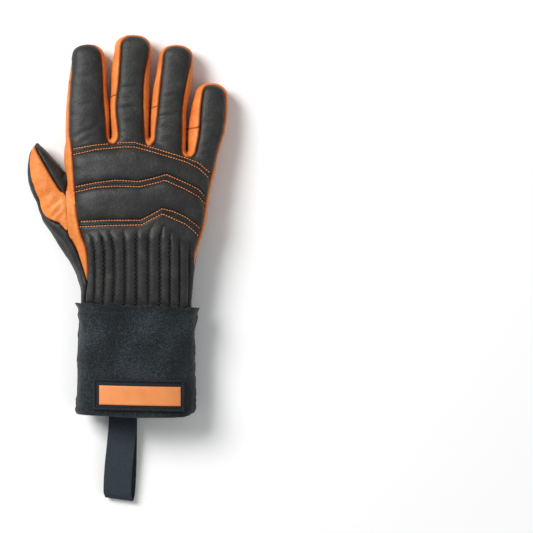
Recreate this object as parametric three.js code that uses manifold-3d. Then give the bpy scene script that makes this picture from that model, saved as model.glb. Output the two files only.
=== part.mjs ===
// A hunting glove for the right hand: leather hand, suede cuff turned up once, webbing hang loop.
// It lies palm down. Millimetres: X from thumb to little finger, Y from the cuff's mouth to the
// fingertips, Z up from the surface it lies on. The hand is one hollow shell, cut along its seams
// into the pieces that the real glove is sewn from.
import * as THREE from "three";
import { mergeVertices } from "three/addons/utils/BufferGeometryUtils.js";
import Module from "manifold-3d";

const wasm = await Module();
wasm.setup();

// Driving sizes
const WALL = 2.2; // leather with its fleece backing
const GAP = 0.3; // between pieces that are sewn to each other
const HALF_GAP = GAP / 2;
const SEAM_REACH = 1.04; // how far a seam's cut runs, as a share of the way from the middle to the surface
const MIN_APEX = 0.5; // a seam's cut starts at least this far from the middle of its section
const MIN_SHARE = 0.05; // of a finger's leather that is left at its tip
const SEAM_LEVEL = 13; // height that parts the seams seen from above from those seen from below
const LEATHER_END = 71; // where the leather stops inside the cuff
const SHEET_TOP = 80; // well above everything
const SHEET_FLOOR = -20; // well below everything
const FAR = 140; // well outside the glove, sideways
const STATION = 22; // spacing of the sections along Y
const CORNERS = { // of a section, outside and inside the wall
  hand: { outside: 24, inside: 16 },
  finger: { outside: 14, inside: 10 },
  thumb: { outside: 14, inside: 10 },
  cuff: { outside: 24, inside: 24 },
};
const CROSS = { wrist: 50, thumb: 226, fingers: 320 }; // Y past the leather's end, the thumb and the fingers

// Each row is one section of the hand without the thumb: its outline, then the edges of the back
// leather seen from above and of the palm leather seen from below.
const HAND_COLUMNS = ["y", "left", "right", "bottom", "top", "backLeft", "backRight", "palmRight"];
const HAND_ROWS = [
  [LEATHER_END, -41.2, 44.4, 2.3, 36.2, -38.8, 60, 60],
  [90, -41.6, 44.2, 2.2, 36.6, -38.6, 60, 60],
  [104, -42.4, 45.0, 1.2, 37.4, -36.6, 58, 58],
  [118, -43.6, 46.6, 0.2, 38.4, -36.2, 45.4, 43.6],
  [130, -45.4, 49.2, -0.6, 39.0, -37.8, 47.6, 46.4],
  [142, -48.0, 53.2, -1.2, 39.4, -42.2, 51.4, 50.4],
  [160, -51.8, 56.4, -1.2, 39.6, -45.6, 54.8, 53.4],
  [180, -53.6, 58.2, -1.2, 38.6, -47.2, 58.4, 56.6],
  [200, -54.0, 60.6, -0.8, 35.8, -48.4, 63.2, 60.8],
  [214, -54.0, 63.0, -0.4, 31.0, -50.2, 66.2, 63.6],
];
const HAND_FRONT = 214; // the hand's front, where the fingers part, on the index side
const FRONT_SLANT = { from: 14, slope: -0.36, begins: 150 }; // the front runs back towards the little finger
const HAND_ROUNDING = 2.9; // exponent of the section's rounded oblong

// Each row is one section of a finger, with the edges of its back and front leather.
const FINGER_COLUMNS = [
  "y", "left", "right", "bottom", "top", "backLeft", "backRight", "frontLeft", "frontRight",
];
const FINGERS = {
  index: {
    rows: [
      [186, -54.0, -19.6, 2.4, 33.5, -48.0, -21.0, -51.0, -24.0],
      [215, -54.0, -19.6, 1.0, 30.5, -50.8, -21.4, -51.0, -24.0],
      [240, -54.0, -20.6, 0.4, 27.5, -51.3, -23.6, -51.0, -25.2],
      [262, -52.0, -22.4, 0.0, 25.0, -50.2, -24.6, -50.0, -27.6],
      [280, -49.0, -23.8, 0.4, 23.5, -47.6, -25.2, -46.5, -29.5],
    ],
    tip: 289.5, backTip: 288.2, frontTip: 283.5,
  },
  middle: {
    rows: [
      [186, -18.4, 10.6, 2.4, 35.0, -12.5, 8.0, -15.5, 7.0],
      [215, -18.4, 10.6, 1.0, 31.0, -12.5, 8.0, -15.5, 7.0],
      [240, -19.2, 10.8, 0.4, 28.0, -15.0, 7.2, -14.8, 8.6],
      [262, -18.8, 10.9, 0.0, 25.5, -12.5, 7.3, -13.8, 8.0],
      [285, -16.4, 12.5, 0.4, 23.8, -11.2, 11.5, -12.0, 7.4],
    ],
    tip: 297.0, backTip: 296.0, frontTip: 290.0,
  },
  ring: {
    rows: [
      [180, 11.8, 39.8, 2.4, 34.0, 15.5, 36.8, 15.0, 36.8],
      [215, 11.8, 39.6, 1.0, 30.0, 15.5, 36.8, 15.0, 36.8],
      [240, 12.7, 40.4, 0.4, 27.5, 18.0, 37.6, 18.4, 37.8],
      [262, 15.6, 44.8, 0.0, 25.0, 20.0, 41.2, 21.0, 40.5],
      [278, 18.4, 45.2, 0.4, 23.5, 21.4, 43.8, 22.8, 40.0],
    ],
    tip: 289.5, backTip: 288.4, frontTip: 283.0,
  },
  little: {
    rows: [
      [172, 40.6, 57.4, 3.0, 31.0, 44.0, 56.2, 43.5, 54.0],
      [204, 41.0, 65.2, 1.2, 28.5, 46.6, 64.0, 44.0, 60.6],
      [220, 41.2, 69.6, 0.6, 26.5, 50.2, 68.6, 44.8, 64.0],
      [238, 43.4, 72.2, 0.2, 24.5, 51.3, 70.6, 47.7, 66.0],
      [249, 46.4, 72.2, 0.4, 22.8, 52.4, 70.4, 50.2, 66.0],
    ],
    tip: 259.0, backTip: 257.8, frontTip: 254.5,
  },
};
const FINGER_ROUNDING = 2.6;
const DOME = { length: 11.5, power: 2.3 }; // how a fingertip and its leather close

// Each row is one section of the thumb's lobe, which grows out of the wrist's side.
const THUMB_COLUMNS = ["y", "left", "right", "bottom", "top"];
const THUMB_ROWS = [
  [94, -41.4, -16.0, 2.6, 30.0],
  [108, -45.4, -14.0, 1.0, 30.5],
  [120, -51.0, -16.0, 0.2, 31.0],
  [135, -60.6, -22.0, 0.0, 31.0],
  [150, -70.4, -30.0, 0.0, 31.0],
  [165, -76.4, -40.0, 0.0, 30.0],
  [178, -81.8, -48.5, 0.0, 28.5],
  [190, -83.4, -56.0, 0.4, 27.0],
  [202, -82.6, -66.0, 1.6, 25.4],
];
const THUMB = { tip: 212.5, tipX: -78.0 };
const THUMB_ROUNDING = 2.5;

// Seams seen from above, as points on the seam.
const SIDE_STRIP_EDGE = [
  [-56, 196], [-53.4, 186], [-53.4, 172], [-52.4, 158], [-51, 141], [-45, 128], [-37, 103],
];
const GUSSET_EDGE = [[-45, 160], [-53.4, 172], [-66, 191], [-79, 214]];
const THUMB_BACK_EDGE = [
  ...GUSSET_EDGE, [-95, 214], [-95, 174],
  [-78, 170], [-71.6, 156], [-66, 151], [-57, 148], [-51, 141], [-45, 136],
];
// The thumb's share: X of the hand's edge beyond it and at its web, Y of the web and X at the wrist.
const THUMB_SIDE = { edge: -56, web: -53.4, crotch: 188, wrist: -30 };
const THUMB_BACK_LEVEL = 19; // how far down the thumb's outer side its orange back reaches
// Three double rows of stitching cross the back, each over a seam.
const KNUCKLE_SEAM = [
  [-60, 202], [-46, 205], [-25, 209], [-5, 210], [20, 205], [40, 198], [52, 191.5], [75, 179],
];
const PAD_SEAM = [[-60, 173], [-46, 176], [-15, 180], [5, 179.5], [24, 185], [40, 178], [56, 165], [75, 150]];
const RIB_SEAM = [
  [-60, 148.5], [-20, 149.5], [5, 150], [22, 158.5], [36, 153], [45, 147.5], [52.5, 141], [75, 121],
];

// Seams seen from below, as points on the seam.
const THUMB_SEAM = [
  [-79.6, 214], [-68, 197], [-53, 170], [-39, 148], [-25, 132],
  [-16.5, 118], [-13.5, 103], [-12.5, 90], [-12, 60],
];
const PALM_GROOVE = [
  [-54, 187], [-43, 180], [-33, 172], [-23, 168], [-13.5, 160],
  [-9, 150], [-7.5, 136], [-8, 124], [-10.5, 112], [-13.5, 103],
];
const SEAMS_MEET = 103; // the Y where the thumb's seam and the palm's groove run into one
const PALM_LEFT = -51; // the palm leather's edge beside the index finger
const PATCH_TOP = [
  [-60, 197], [-42, 201.5], [-20, 204], [0, 204], [20, 201], [38, 196.5], [59, 191], [75, 187],
];
const PATCH_FOOT = [[-30, 119.5], [-5, 119.5], [18, 118.5], [46, 114], [75, 109]];

// Where the orange strips round the fingers are joined, and about where each strip's middle is.
const STRIP_JOINS = [
  { from: -58, to: -45, y: 256 },
  { from: -21, to: -11.5, y: 245 },
  { from: 11, to: 20, y: 236 },
  { from: 40.2, to: 51, y: 221 },
  { from: 60, to: 76, y: 221 },
];
const STRIP_MIDDLES = {
  fourchette_index: [-33, 250],
  fourchette_middle: [0, 255],
  fourchette_ring: [30, 250],
  fourchette_little: [57, 240],
  side_strip_index: [-48, 190],
  side_strip_little: [58, 170],
};

// The cuff: suede folded back on itself at the mouth.
const CUFF_COLUMNS = ["y", "left", "right", "bottom", "top"];
const CUFF_ROWS = [
  [-2, -44.8, 47.2, -1.2, 38.2],
  [20, -44.6, 47.2, -1.2, 38.4],
  [45, -43.9, 46.4, -1.2, 38.4],
  [70, -43.5, 46.6, -1.2, 38.5],
  [88, -43.9, 47.2, -1.2, 38.9],
];
const CUFF = {
  top: 85.5, innerTop: 70.6, middle: 45, fold: 2.2, mouth: -1.5, // Y along the suede
  suede: 1.8, between: 0.6, // thickness of a layer and the space between the two
  slant: -0.045, // how the top edge falls towards the little finger
};

// The label patch on the cuff's back, bare, and the plate on it.
const LABEL_FRAME = { left: -32.5, right: 39.5, low: 3.5, high: 28.5, lift: GAP, thick: 1.2 };
const LABEL = { left: -27, right: 36, low: 8.3, high: 23.3, lift: 1.8, thick: 0.8 };

// The hang loop: a webbing tape, sewn in the mouth on the palm side, lying on the surface.
const TAPE = { width: 22, thick: 1.4 };
const LOOP_COLUMNS = ["y", "z", "x", "turn"];
const LOOP_ROWS = [
  [9, 5.3, -10, 0],
  [0, 5.3, -10, 0],
  [-7, 4.2, -10, 0],
  [-16, 1.4, -10.2, -1],
  [-28, 0.7, -10.4, -2],
  [-46, 0.7, -10.8, -4],
  [-60, 0.9, -11.6, -7],
  [-64.6, 1.9, -12.4, -8],
  [-66.4, 3.8, -13, -8],
  [-65.2, 5.9, -13.6, -8],
  [-60, 7.7, -14.4, -7],
  [-42, 8.9, -13.4, -5],
  [-24, 9.0, -11.6, -3],
  [-10, 8.2, -10.4, -1],
  [0, 7.3, -10, 0],
  [9, 7.2, -10, 0],
];

// Tables

/** A column's value at Y, on a smooth curve through the rows. */
function columnAt(rows, columns, name, y) {
  const c = columns.indexOf(name);
  const last = rows.length - 1;
  let i = 0;
  while (i < last - 1 && y > rows[i + 1][0]) i += 1;
  const slope = (k) => {
    const a = rows[Math.max(k - 1, 0)];
    const b = rows[Math.min(k + 1, last)];
    return (b[c] - a[c]) / (b[0] - a[0]);
  };
  const [y0, y1] = [rows[i][0], rows[i + 1][0]];
  const span = y1 - y0;
  const t = Math.min(Math.max((y - y0) / span, 0), 1);
  const [t2, t3] = [t * t, t * t * t];
  return (
    rows[i][c] * (2 * t3 - 3 * t2 + 1) +
    slope(i) * span * (t3 - 2 * t2 + t) +
    rows[i + 1][c] * (3 * t2 - 2 * t3) +
    slope(i + 1) * span * (t3 - t2)
  );
}

/** The Y of the sections from one Y to another, about STATION apart. */
function stations(from, to) {
  const count = Math.max(1, Math.round((to - from) / STATION));
  return Array.from({ length: count + 1 }, (_, i) => from + ((to - from) * i) / count);
}

/** How wide a dome still is at Y, from 1 at its foot to 0 at its tip. */
function domeShare(y, tip) {
  const s = Math.min(Math.max((y - tip + DOME.length) / DOME.length, 0), 1);
  return (1 - s ** DOME.power) ** (1 / DOME.power);
}

/** The Y of a dome's rings, closer together towards the tip. */
function domeStations(tip) {
  return [0.55, 0.86, 0.99].map((s) => tip - DOME.length + DOME.length * s);
}

// Solids

function toSolid(geometry) {
  const bare = geometry.index ? geometry.toNonIndexed() : geometry.clone();
  bare.deleteAttribute("normal");
  bare.deleteAttribute("uv");
  const merged = mergeVertices(bare, 1e-4);
  return new wasm.Manifold(
    new wasm.Mesh({
      numProp: 3,
      vertProperties: new Float32Array(merged.attributes.position.array),
      triVerts: new Uint32Array(merged.index.array),
    }),
  );
}

function toGeometry(solid) {
  const mesh = solid.getMesh();
  const geometry = new THREE.BufferGeometry();
  geometry.setAttribute("position", new THREE.BufferAttribute(new Float32Array(mesh.vertProperties), 3));
  geometry.setIndex(new THREE.BufferAttribute(new Uint32Array(mesh.triVerts), 1));
  geometry.computeVertexNormals();
  return geometry;
}

/** A closed surface through rings of points, with a fan over each end, or joined end to end. */
function loft(rings, endToEnd = false) {
  const size = rings[0].length;
  const points = rings.flat();
  const triangles = [];
  const last = endToEnd ? rings.length : rings.length - 1;
  for (let r = 0; r < last; r += 1) {
    const [here, next] = [r * size, ((r + 1) % rings.length) * size];
    for (let i = 0; i < size; i += 1) {
      const j = (i + 1) % size;
      triangles.push([here + i, here + j, next + j], [here + i, next + j, next + i]);
    }
  }
  if (!endToEnd) {
    for (const [start, ring] of [[0, rings[0]], [(rings.length - 1) * size, rings.at(-1)]]) {
      const middle = ring.reduce((sum, p) => sum.map((v, k) => v + p[k] / size), [0, 0, 0]);
      points.push(middle);
      for (let i = 0; i < size; i += 1) {
        const [a, b] = [start + i, start + ((i + 1) % size)];
        triangles.push(start === 0 ? [points.length - 1, b, a] : [points.length - 1, a, b]);
      }
    }
  }
  const geometry = new THREE.BufferGeometry();
  geometry.setAttribute("position", new THREE.Float32BufferAttribute(points.flat(), 3));
  geometry.setIndex(triangles.flat());
  const solid = toSolid(geometry);
  if (solid.volume() > 0) return solid;
  geometry.setIndex(triangles.map(([a, b, c]) => [a, c, b]).flat());
  return toSolid(geometry);
}

/** One section: a rounded oblong between four edges, taken in by inset and flattened where it lies. */
function oblong(y, { left, right, bottom, top }, inset, power, corners, share = 1) {
  const count = inset > 0 ? corners.inside : corners.outside;
  const [halfWide, halfHigh] = [((right - left) / 2 - inset) * share, ((top - bottom) / 2 - inset) * share];
  const [x, z] = [(left + right) / 2, (top + bottom) / 2];
  return Array.from({ length: count }, (_, i) => {
    const angle = (2 * Math.PI * i) / count;
    const bend = (v) => Math.sign(v) * Math.abs(v) ** (2 / power);
    return [x + halfWide * bend(Math.cos(angle)), y, Math.max(z + halfHigh * bend(Math.sin(angle)), inset)];
  });
}

function edgesAt(rows, columns, y) {
  const names = ["left", "right", "bottom", "top"];
  return Object.fromEntries(names.map((name) => [name, columnAt(rows, columns, name, y)]));
}

/** Runs a ring of the hand back towards the little finger, more so near the knuckles. */
function slanted(ring) {
  return ring.map(([x, y, z]) => {
    const share = Math.min(Math.max((y - FRONT_SLANT.begins) / (HAND_FRONT - FRONT_SLANT.begins), 0), 1);
    return [x, y + FRONT_SLANT.slope * Math.max(x - FRONT_SLANT.from, 0) * share, z];
  });
}

/** The hand without its fingers, taken in by inset; the inner one runs out through the wrist. */
function hand(inset) {
  const foot = LEATHER_END - inset;
  const ring = (y) => {
    const edges = edgesAt(HAND_ROWS, HAND_COLUMNS, y);
    return slanted(oblong(y, edges, inset, HAND_ROUNDING, CORNERS.hand));
  };
  return loft(stations(foot, HAND_FRONT - inset).map(ring));
}

/** One finger from inside the hand to its tip, taken in by inset. */
function finger({ rows, tip }, inset) {
  const end = tip - inset;
  const foot = rows[0][0] - 4 * inset;
  const ring = (y) => {
    const edges = edgesAt(rows, FINGER_COLUMNS, y);
    return oblong(y, edges, inset, FINGER_ROUNDING, CORNERS.finger, domeShare(y, end));
  };
  return loft([...stations(foot, end - DOME.length), ...domeStations(end)].map(ring));
}

/** The thumb's lobe from the wrist to its tip, taken in by inset. Its dome leans outwards. */
function thumb(inset) {
  const end = THUMB.tip - inset;
  const ring = (y) => {
    const edges = edgesAt(THUMB_ROWS, THUMB_COLUMNS, y);
    const share = domeShare(y, end);
    const lean = (THUMB.tipX - (edges.left + edges.right) / 2) * (1 - share);
    const section = oblong(y, edges, inset, THUMB_ROUNDING, CORNERS.thumb, share);
    return section.map(([x, v, z]) => [x + lean, v, z]);
  };
  return loft([...stations(THUMB_ROWS[0][0], end - DOME.length), ...domeStations(end)].map(ring));
}

function joined(solids) {
  return solids.reduce((a, b) => a.add(b));
}

/** The whole leather hand as one solid, taken in by inset. */
function wholeHand(inset) {
  return joined([hand(inset), thumb(inset), ...Object.values(FINGERS).map((f) => finger(f, inset))]);
}

/** An upright prism over an outline drawn in plan. */
function prism(outline, low, high) {
  const shape = new THREE.Shape(outline.map(([x, y]) => new THREE.Vector2(x, y)));
  const geometry = new THREE.ExtrudeGeometry(shape, { depth: high - low, bevelEnabled: false });
  return toSolid(geometry.translate(0, 0, low));
}

/** An upright prism over an outline, through everything. */
const through = (outline) => prism(outline, SHEET_FLOOR, SHEET_TOP);

/** A line moved sideways to its left by a distance. */
function shifted(line, distance) {
  return line.map(([x, y], i) => {
    const [a, b] = [line[Math.max(i - 1, 0)], line[Math.min(i + 1, line.length - 1)]];
    const long = Math.hypot(b[0] - a[0], b[1] - a[1]);
    return [x - ((b[1] - a[1]) / long) * distance, y + ((b[0] - a[0]) / long) * distance];
  });
}

/** Everything on the fingers' side of a line across the glove, or on the wrist's, grown. */
const beyond = (seam, grow) => through([...shifted(seam, -grow), [FAR, CROSS.fingers], [-FAR, CROSS.fingers]]);
const before = (seam, grow) => through([...shifted(seam, grow), [FAR, CROSS.wrist], [-FAR, CROSS.wrist]]);

/** Space above the seam level over one outline and below it over another, in one piece where both cover. */
function stacked(upper, lower, grow) {
  const both = through(upper).intersect(through(lower));
  const above = prism(upper, SEAM_LEVEL - grow, SHEET_TOP);
  const below = prism(lower, SHEET_FLOOR, SEAM_LEVEL + grow);
  return joined([above, below, both]);
}

/**
 * One section of the space over a tube's upper leather (side 1) or under its lower leather (side -1).
 * Its two edges cut the wall squarely, along lines from the middle of each rounded side to the seam at x.
 */
function seamSection(y, edges, side, xs, power, grow, share = 1) {
  const middle = (edges.left + edges.right) / 2;
  const level = (edges.bottom + edges.top) / 2;
  const halfWide = ((edges.right - edges.left) / 2) * share;
  const halfHigh = ((edges.top - edges.bottom) / 2) * share;
  const lines = xs.map((x, i) => {
    const outwards = i === 0 ? -1 : 1;
    const apex = middle + outwards * Math.max(halfWide - halfHigh, MIN_APEX);
    const reach = Math.min(Math.abs(x - middle) / halfWide, 1);
    const [dx, dz] = [x - apex, side * halfHigh * (1 - reach ** power) ** (1 / power)];
    const long = Math.hypot(dx, dz);
    const push = (-outwards * side * grow) / long;
    const from = [apex - dz * push, y, level + dx * push];
    return [from, [from[0] + dx * SEAM_REACH, y, from[2] + dz * SEAM_REACH]];
  });
  const far = side > 0 ? SHEET_TOP : SHEET_FLOOR;
  const [[leftFrom, leftTo], [rightFrom, rightTo]] = lines;
  return [leftTo, leftFrom, rightFrom, rightTo, [rightTo[0], y, far], [leftTo[0], y, far]];
}

/** Everything over the back leather of one finger (side 1) or under its front leather (side -1). */
function fingerSeams({ rows, tip, backTip, frontTip }, side, grow) {
  const [edge, end] = side > 0 ? ["back", backTip] : ["front", frontTip];
  const ring = (y) => {
    const edges = edgesAt(rows, FINGER_COLUMNS, y);
    const middle = (edges.left + edges.right) / 2;
    const xs = ["Left", "Right"].map((name) => {
      const away = columnAt(rows, FINGER_COLUMNS, edge + name, y) - middle;
      return middle + away * Math.max(domeShare(y, end), MIN_SHARE);
    });
    return seamSection(y, edges, side, xs, FINGER_ROUNDING, grow, domeShare(y, tip));
  };
  return loft([...stations(rows[0][0], end - DOME.length), ...domeStations(end)].map(ring));
}

/** The section of the slanted hand that passes through a point seen in plan. */
function sectionThrough(x, y) {
  let station = y;
  for (let i = 0; i < 5; i += 1) station = y - (slanted([[x, station, 0]])[0][1] - station);
  return edgesAt(HAND_ROWS, HAND_COLUMNS, station);
}

/** Everything over the back leather of the hand (side 1) or under its palm leather (side -1). */
function handSeams(side, grow) {
  const ring = (y) => {
    const left = side > 0 ? columnAt(HAND_ROWS, HAND_COLUMNS, "backLeft", y) : PALM_LEFT;
    const right = columnAt(HAND_ROWS, HAND_COLUMNS, side > 0 ? "backRight" : "palmRight", y);
    const edges = { ...sectionThrough(0, y), right: sectionThrough(right, y).right };
    return seamSection(y, edges, side, [left, Math.min(right, edges.right)], HAND_ROUNDING, grow);
  };
  return loft(stations(LEATHER_END - 6, HAND_FRONT + 2).map(ring));
}

/** Everything over the back leather: the hand's as far as the knuckle seam, then each finger's. */
function backRegions(grow) {
  return {
    hand: handSeams(1, grow).intersect(before(KNUCKLE_SEAM, grow)),
    fingers: Object.values(FINGERS).map((f) => fingerSeams(f, 1, grow).intersect(beyond(KNUCKLE_SEAM, grow))),
  };
}

/** Everything under the palm leather: the hand's as far as the patch's top, then each finger's. */
function palmRegions(grow) {
  const wristSeam = THUMB_SEAM.filter(([, y]) => y < SEAMS_MEET);
  const thumbSide = shifted([...PALM_GROOVE, ...wristSeam], -grow);
  const [edge] = PALM_GROOVE[0];
  const outline = [...thumbSide, [FAR, CROSS.wrist], [FAR, CROSS.thumb], [edge - grow, CROSS.thumb]];
  return {
    hand: handSeams(-1, grow).intersect(through(outline)).intersect(before(PATCH_TOP, grow)),
    fingers: Object.values(FINGERS).map((f) => fingerSeams(f, -1, grow).intersect(beyond(PATCH_TOP, grow))),
  };
}

/** Everything on the thumb's side of the orange side strip and of the palm's groove. */
function thumbRegion(grow) {
  const { edge, web, crotch, wrist } = THUMB_SIDE;
  const far = [[-FAR, CROSS.wrist], [-FAR, CROSS.thumb], [edge + grow, CROSS.thumb]];
  const wristSide = [[wrist + grow, SEAMS_MEET - 4], [wrist + grow, CROSS.wrist]];
  const upper = [...far, ...shifted(SIDE_STRIP_EDGE, grow), ...wristSide];
  const lower = [...far, [web + grow, crotch + grow], [0, crotch + grow], [0, CROSS.wrist]];
  return stacked(upper, lower, grow);
}

/** The gusset between thumb and palm, which wraps round the thumb's inner side. */
function gussetRegion(grow) {
  const [[seamX, seamY], [tipX]] = [GUSSET_EDGE[0], GUSSET_EDGE.at(-1)];
  const lowerSeam = THUMB_SEAM.filter(([, y]) => y >= SEAMS_MEET);
  const tip = [tipX - grow, CROSS.thumb];
  const upper = [...shifted(GUSSET_EDGE, grow), tip, [FAR, CROSS.thumb], [FAR, seamY], [seamX, seamY]];
  const lower = [[FAR, CROSS.thumb], tip, ...shifted(lowerSeam, -grow), [FAR, SEAMS_MEET]];
  return stacked(upper, lower, grow);
}

/** The orange panel on the thumb's back. */
function thumbBackRegion(grow) {
  return prism(shifted(THUMB_BACK_EDGE, -grow), THUMB_BACK_LEVEL - grow, SHEET_TOP);
}

/** The bodies of a solid by name, each the one whose middle is nearest to a spot in plan. */
function bodiesNear(solid, spots) {
  const bodies = solid.decompose();
  const nearest = ([x, y]) => {
    const away = (body) => {
      const { min, max } = body.boundingBox();
      return Math.hypot((min[0] + max[0]) / 2 - x, (min[1] + max[1]) / 2 - y);
    };
    return bodies.reduce((a, b) => (away(a) < away(b) ? a : b));
  };
  return Object.fromEntries(Object.entries(spots).map(([name, spot]) => [name, nearest(spot)]));
}

/** The largest body of a solid, without slivers that a cut leaves. */
function mainBody(solid) {
  return solid.decompose().reduce((a, b) => (a.volume() > b.volume() ? a : b));
}

// The leather hand

const shell = wholeHand(0).subtract(wholeHand(WALL));

const backs = backRegions(-HALF_GAP);
const fingerBacks = backs.fingers.map((region) => mainBody(shell.intersect(region)));
const handBack = shell.intersect(backs.hand);
const knucklePad = mainBody(handBack.intersect(beyond(PAD_SEAM, -HALF_GAP)));
const upToPad = handBack.intersect(before(PAD_SEAM, -HALF_GAP));
const handPad = mainBody(upToPad.intersect(beyond(RIB_SEAM, -HALF_GAP)));
const ribbedWrist = mainBody(handBack.intersect(before(RIB_SEAM, -HALF_GAP)));

const palms = palmRegions(-HALF_GAP);
const fingerFronts = palms.fingers.map((region) => mainBody(shell.intersect(region)));
const palm = shell.intersect(palms.hand);
const palmPatch = mainBody(palm.intersect(beyond(PATCH_FOOT, -HALF_GAP)));
const palmHeel = mainBody(palm.intersect(before(PATCH_FOOT, -HALF_GAP)));

const covers = [backRegions(HALF_GAP), palmRegions(HALF_GAP)];
const taken = covers.flatMap((cover) => [cover.hand, ...cover.fingers]);
const sides = taken.reduce((left, region) => left.subtract(region), shell);
const slot = ({ from, to, y }) => through([[from, y], [to, y], [to, y + GAP], [from, y + GAP]]);
const joins = joined(STRIP_JOINS.map(slot));
const strips = bodiesNear(sides.subtract(thumbRegion(HALF_GAP)).subtract(joins), STRIP_MIDDLES);

const thumbPieces = sides.intersect(thumbRegion(-HALF_GAP));
const thumbBack = mainBody(thumbPieces.intersect(thumbBackRegion(-HALF_GAP)));
const thumbRest = thumbPieces.subtract(thumbBackRegion(HALF_GAP));
const thumbGusset = mainBody(thumbRest.intersect(gussetRegion(-HALF_GAP)));
const thumbOuter = mainBody(thumbRest.subtract(gussetRegion(HALF_GAP)));

// The cuff and its label

/** One ring of the cuff at a depth inside its outline; the top edge runs down towards the little finger. */
function cuffRing(y, inset) {
  const edges = edgesAt(CUFF_ROWS, CUFF_COLUMNS, y);
  const tilt = y > CUFF.innerTop ? CUFF.slant : 0;
  return oblong(y, edges, inset, HAND_ROUNDING, CORNERS.cuff).map(([x, v, z]) => [x, v + tilt * x, z]);
}

/** The suede in section: down the outside, round the fold, up the inside and back between the layers. */
function cuff() {
  const { top, mouth, fold, middle, innerTop, suede, between } = CUFF;
  const under = suede + between;
  const deep = under + suede;
  const [round, bulge] = [0.12 * deep, 0.2 * deep];
  const path = [
    [top, suede], [top, 0], [middle, 0], [fold, 0], [mouth + round, bulge], [mouth, deep / 2],
    [mouth + round, deep - bulge], [fold, deep], [middle, deep], [innerTop, deep], [innerTop, under],
    [middle, under], [fold + 1, under], [fold + 1, suede], [middle, suede],
  ];
  return loft(path.map(([y, inset]) => cuffRing(y, inset)), true);
}

/** A plate that follows the cuff's back, lifted off it. */
function cuffPlate({ left, right, low, high, lift, thick }) {
  const tube = (out) => loft(stations(low - out, high + out).map((y) => cuffRing(y, -out)));
  const outline = [[left, low], [right, low], [right, high], [left, high]];
  const back = prism(outline, SEAM_LEVEL, SHEET_TOP);
  return tube(lift + thick).subtract(tube(lift)).intersect(back);
}

// The hang loop

/** The tape as rings of four corners square to its path. */
function hangLoop() {
  const at = Object.fromEntries(LOOP_COLUMNS.map((name, i) => [name, i]));
  const rings = LOOP_ROWS.map((row, i) => {
    const [last, next] = [LOOP_ROWS[Math.max(i - 1, 0)], LOOP_ROWS[Math.min(i + 1, LOOP_ROWS.length - 1)]];
    const along = new THREE.Vector3(0, next[at.y] - last[at.y], next[at.z] - last[at.z]).normalize();
    const across = new THREE.Vector3(1, 0, 0).applyAxisAngle(
      new THREE.Vector3(0, 0, 1),
      THREE.MathUtils.degToRad(row[at.turn]),
    );
    const face = new THREE.Vector3().crossVectors(across, along).normalize();
    const middle = new THREE.Vector3(row[at.x], row[at.y], row[at.z]);
    const corner = (u, v) =>
      middle.clone().addScaledVector(across, (u * TAPE.width) / 2).addScaledVector(face, (v * TAPE.thick) / 2);
    return [corner(-1, -1), corner(1, -1), corner(1, 1), corner(-1, 1)].map((p) => p.toArray());
  });
  return loft(rings);
}

// Finishes

const finish = (color, roughness) => new THREE.MeshStandardMaterial({ color, roughness, metalness: 0 });
const BLACK_LEATHER = finish(0x2c2c2a, 0.62);
const ORANGE_LEATHER = finish(0xf08a48, 0.55);
const SUEDE = finish(0x2b3238, 0.95);
const WEBBING = finish(0x2a3036, 0.85);
const LABEL_CLOTH = finish(0x1f2226, 0.8);

const glove = new THREE.Group();

function place(name, solid, material) {
  const mesh = new THREE.Mesh(toGeometry(solid), material);
  mesh.name = name;
  glove.add(mesh);
}

const fingerNames = Object.keys(FINGERS);
fingerNames.forEach((name, i) => place(`finger_back_${name}`, fingerBacks[i], BLACK_LEATHER));
place("knuckle_pad", knucklePad, BLACK_LEATHER);
place("hand_pad", handPad, BLACK_LEATHER);
place("ribbed_wrist", ribbedWrist, BLACK_LEATHER);
fingerNames.forEach((name, i) => place(`finger_front_${name}`, fingerFronts[i], BLACK_LEATHER));
place("palm_patch", palmPatch, BLACK_LEATHER);
place("palm_heel", palmHeel, BLACK_LEATHER);
place("thumb_back", thumbBack, ORANGE_LEATHER);
place("thumb_gusset", thumbGusset, BLACK_LEATHER);
place("thumb_outer", thumbOuter, BLACK_LEATHER);
for (const [name, strip] of Object.entries(strips)) place(name, strip, ORANGE_LEATHER);
place("cuff", cuff(), SUEDE);
place("label_frame", cuffPlate(LABEL_FRAME), LABEL_CLOTH);
place("label", cuffPlate(LABEL), ORANGE_LEATHER);
place("hang_loop", hangLoop(), WEBBING);

// The origin is under the middle of the glove's box, on the surface it lies on.
const box = new THREE.Box3().setFromObject(glove);
const centre = box.getCenter(new THREE.Vector3());
glove.position.set(-centre.x, -centre.y, -box.min.z);

export default glove;
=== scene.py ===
"""Looks of a hunting glove for the right hand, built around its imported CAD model.

The glove lies palm down, with its fingertips towards +Y and its little finger towards +X. Every size is in
millimetres of the drawing that the CAD model was made from; to_frame turns them into metres of the frame.
The leather hand is one smooth tube surface, cut along its seams, and each piece then gets its own relief.
"""

from __future__ import annotations

import functools
import itertools
import logging
import math
from dataclasses import dataclass, field
from enum import Enum

import bpy
import numpy as np
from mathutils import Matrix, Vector
from mathutils.bvhtree import BVHTree
from mathutils.kdtree import KDTree

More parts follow.
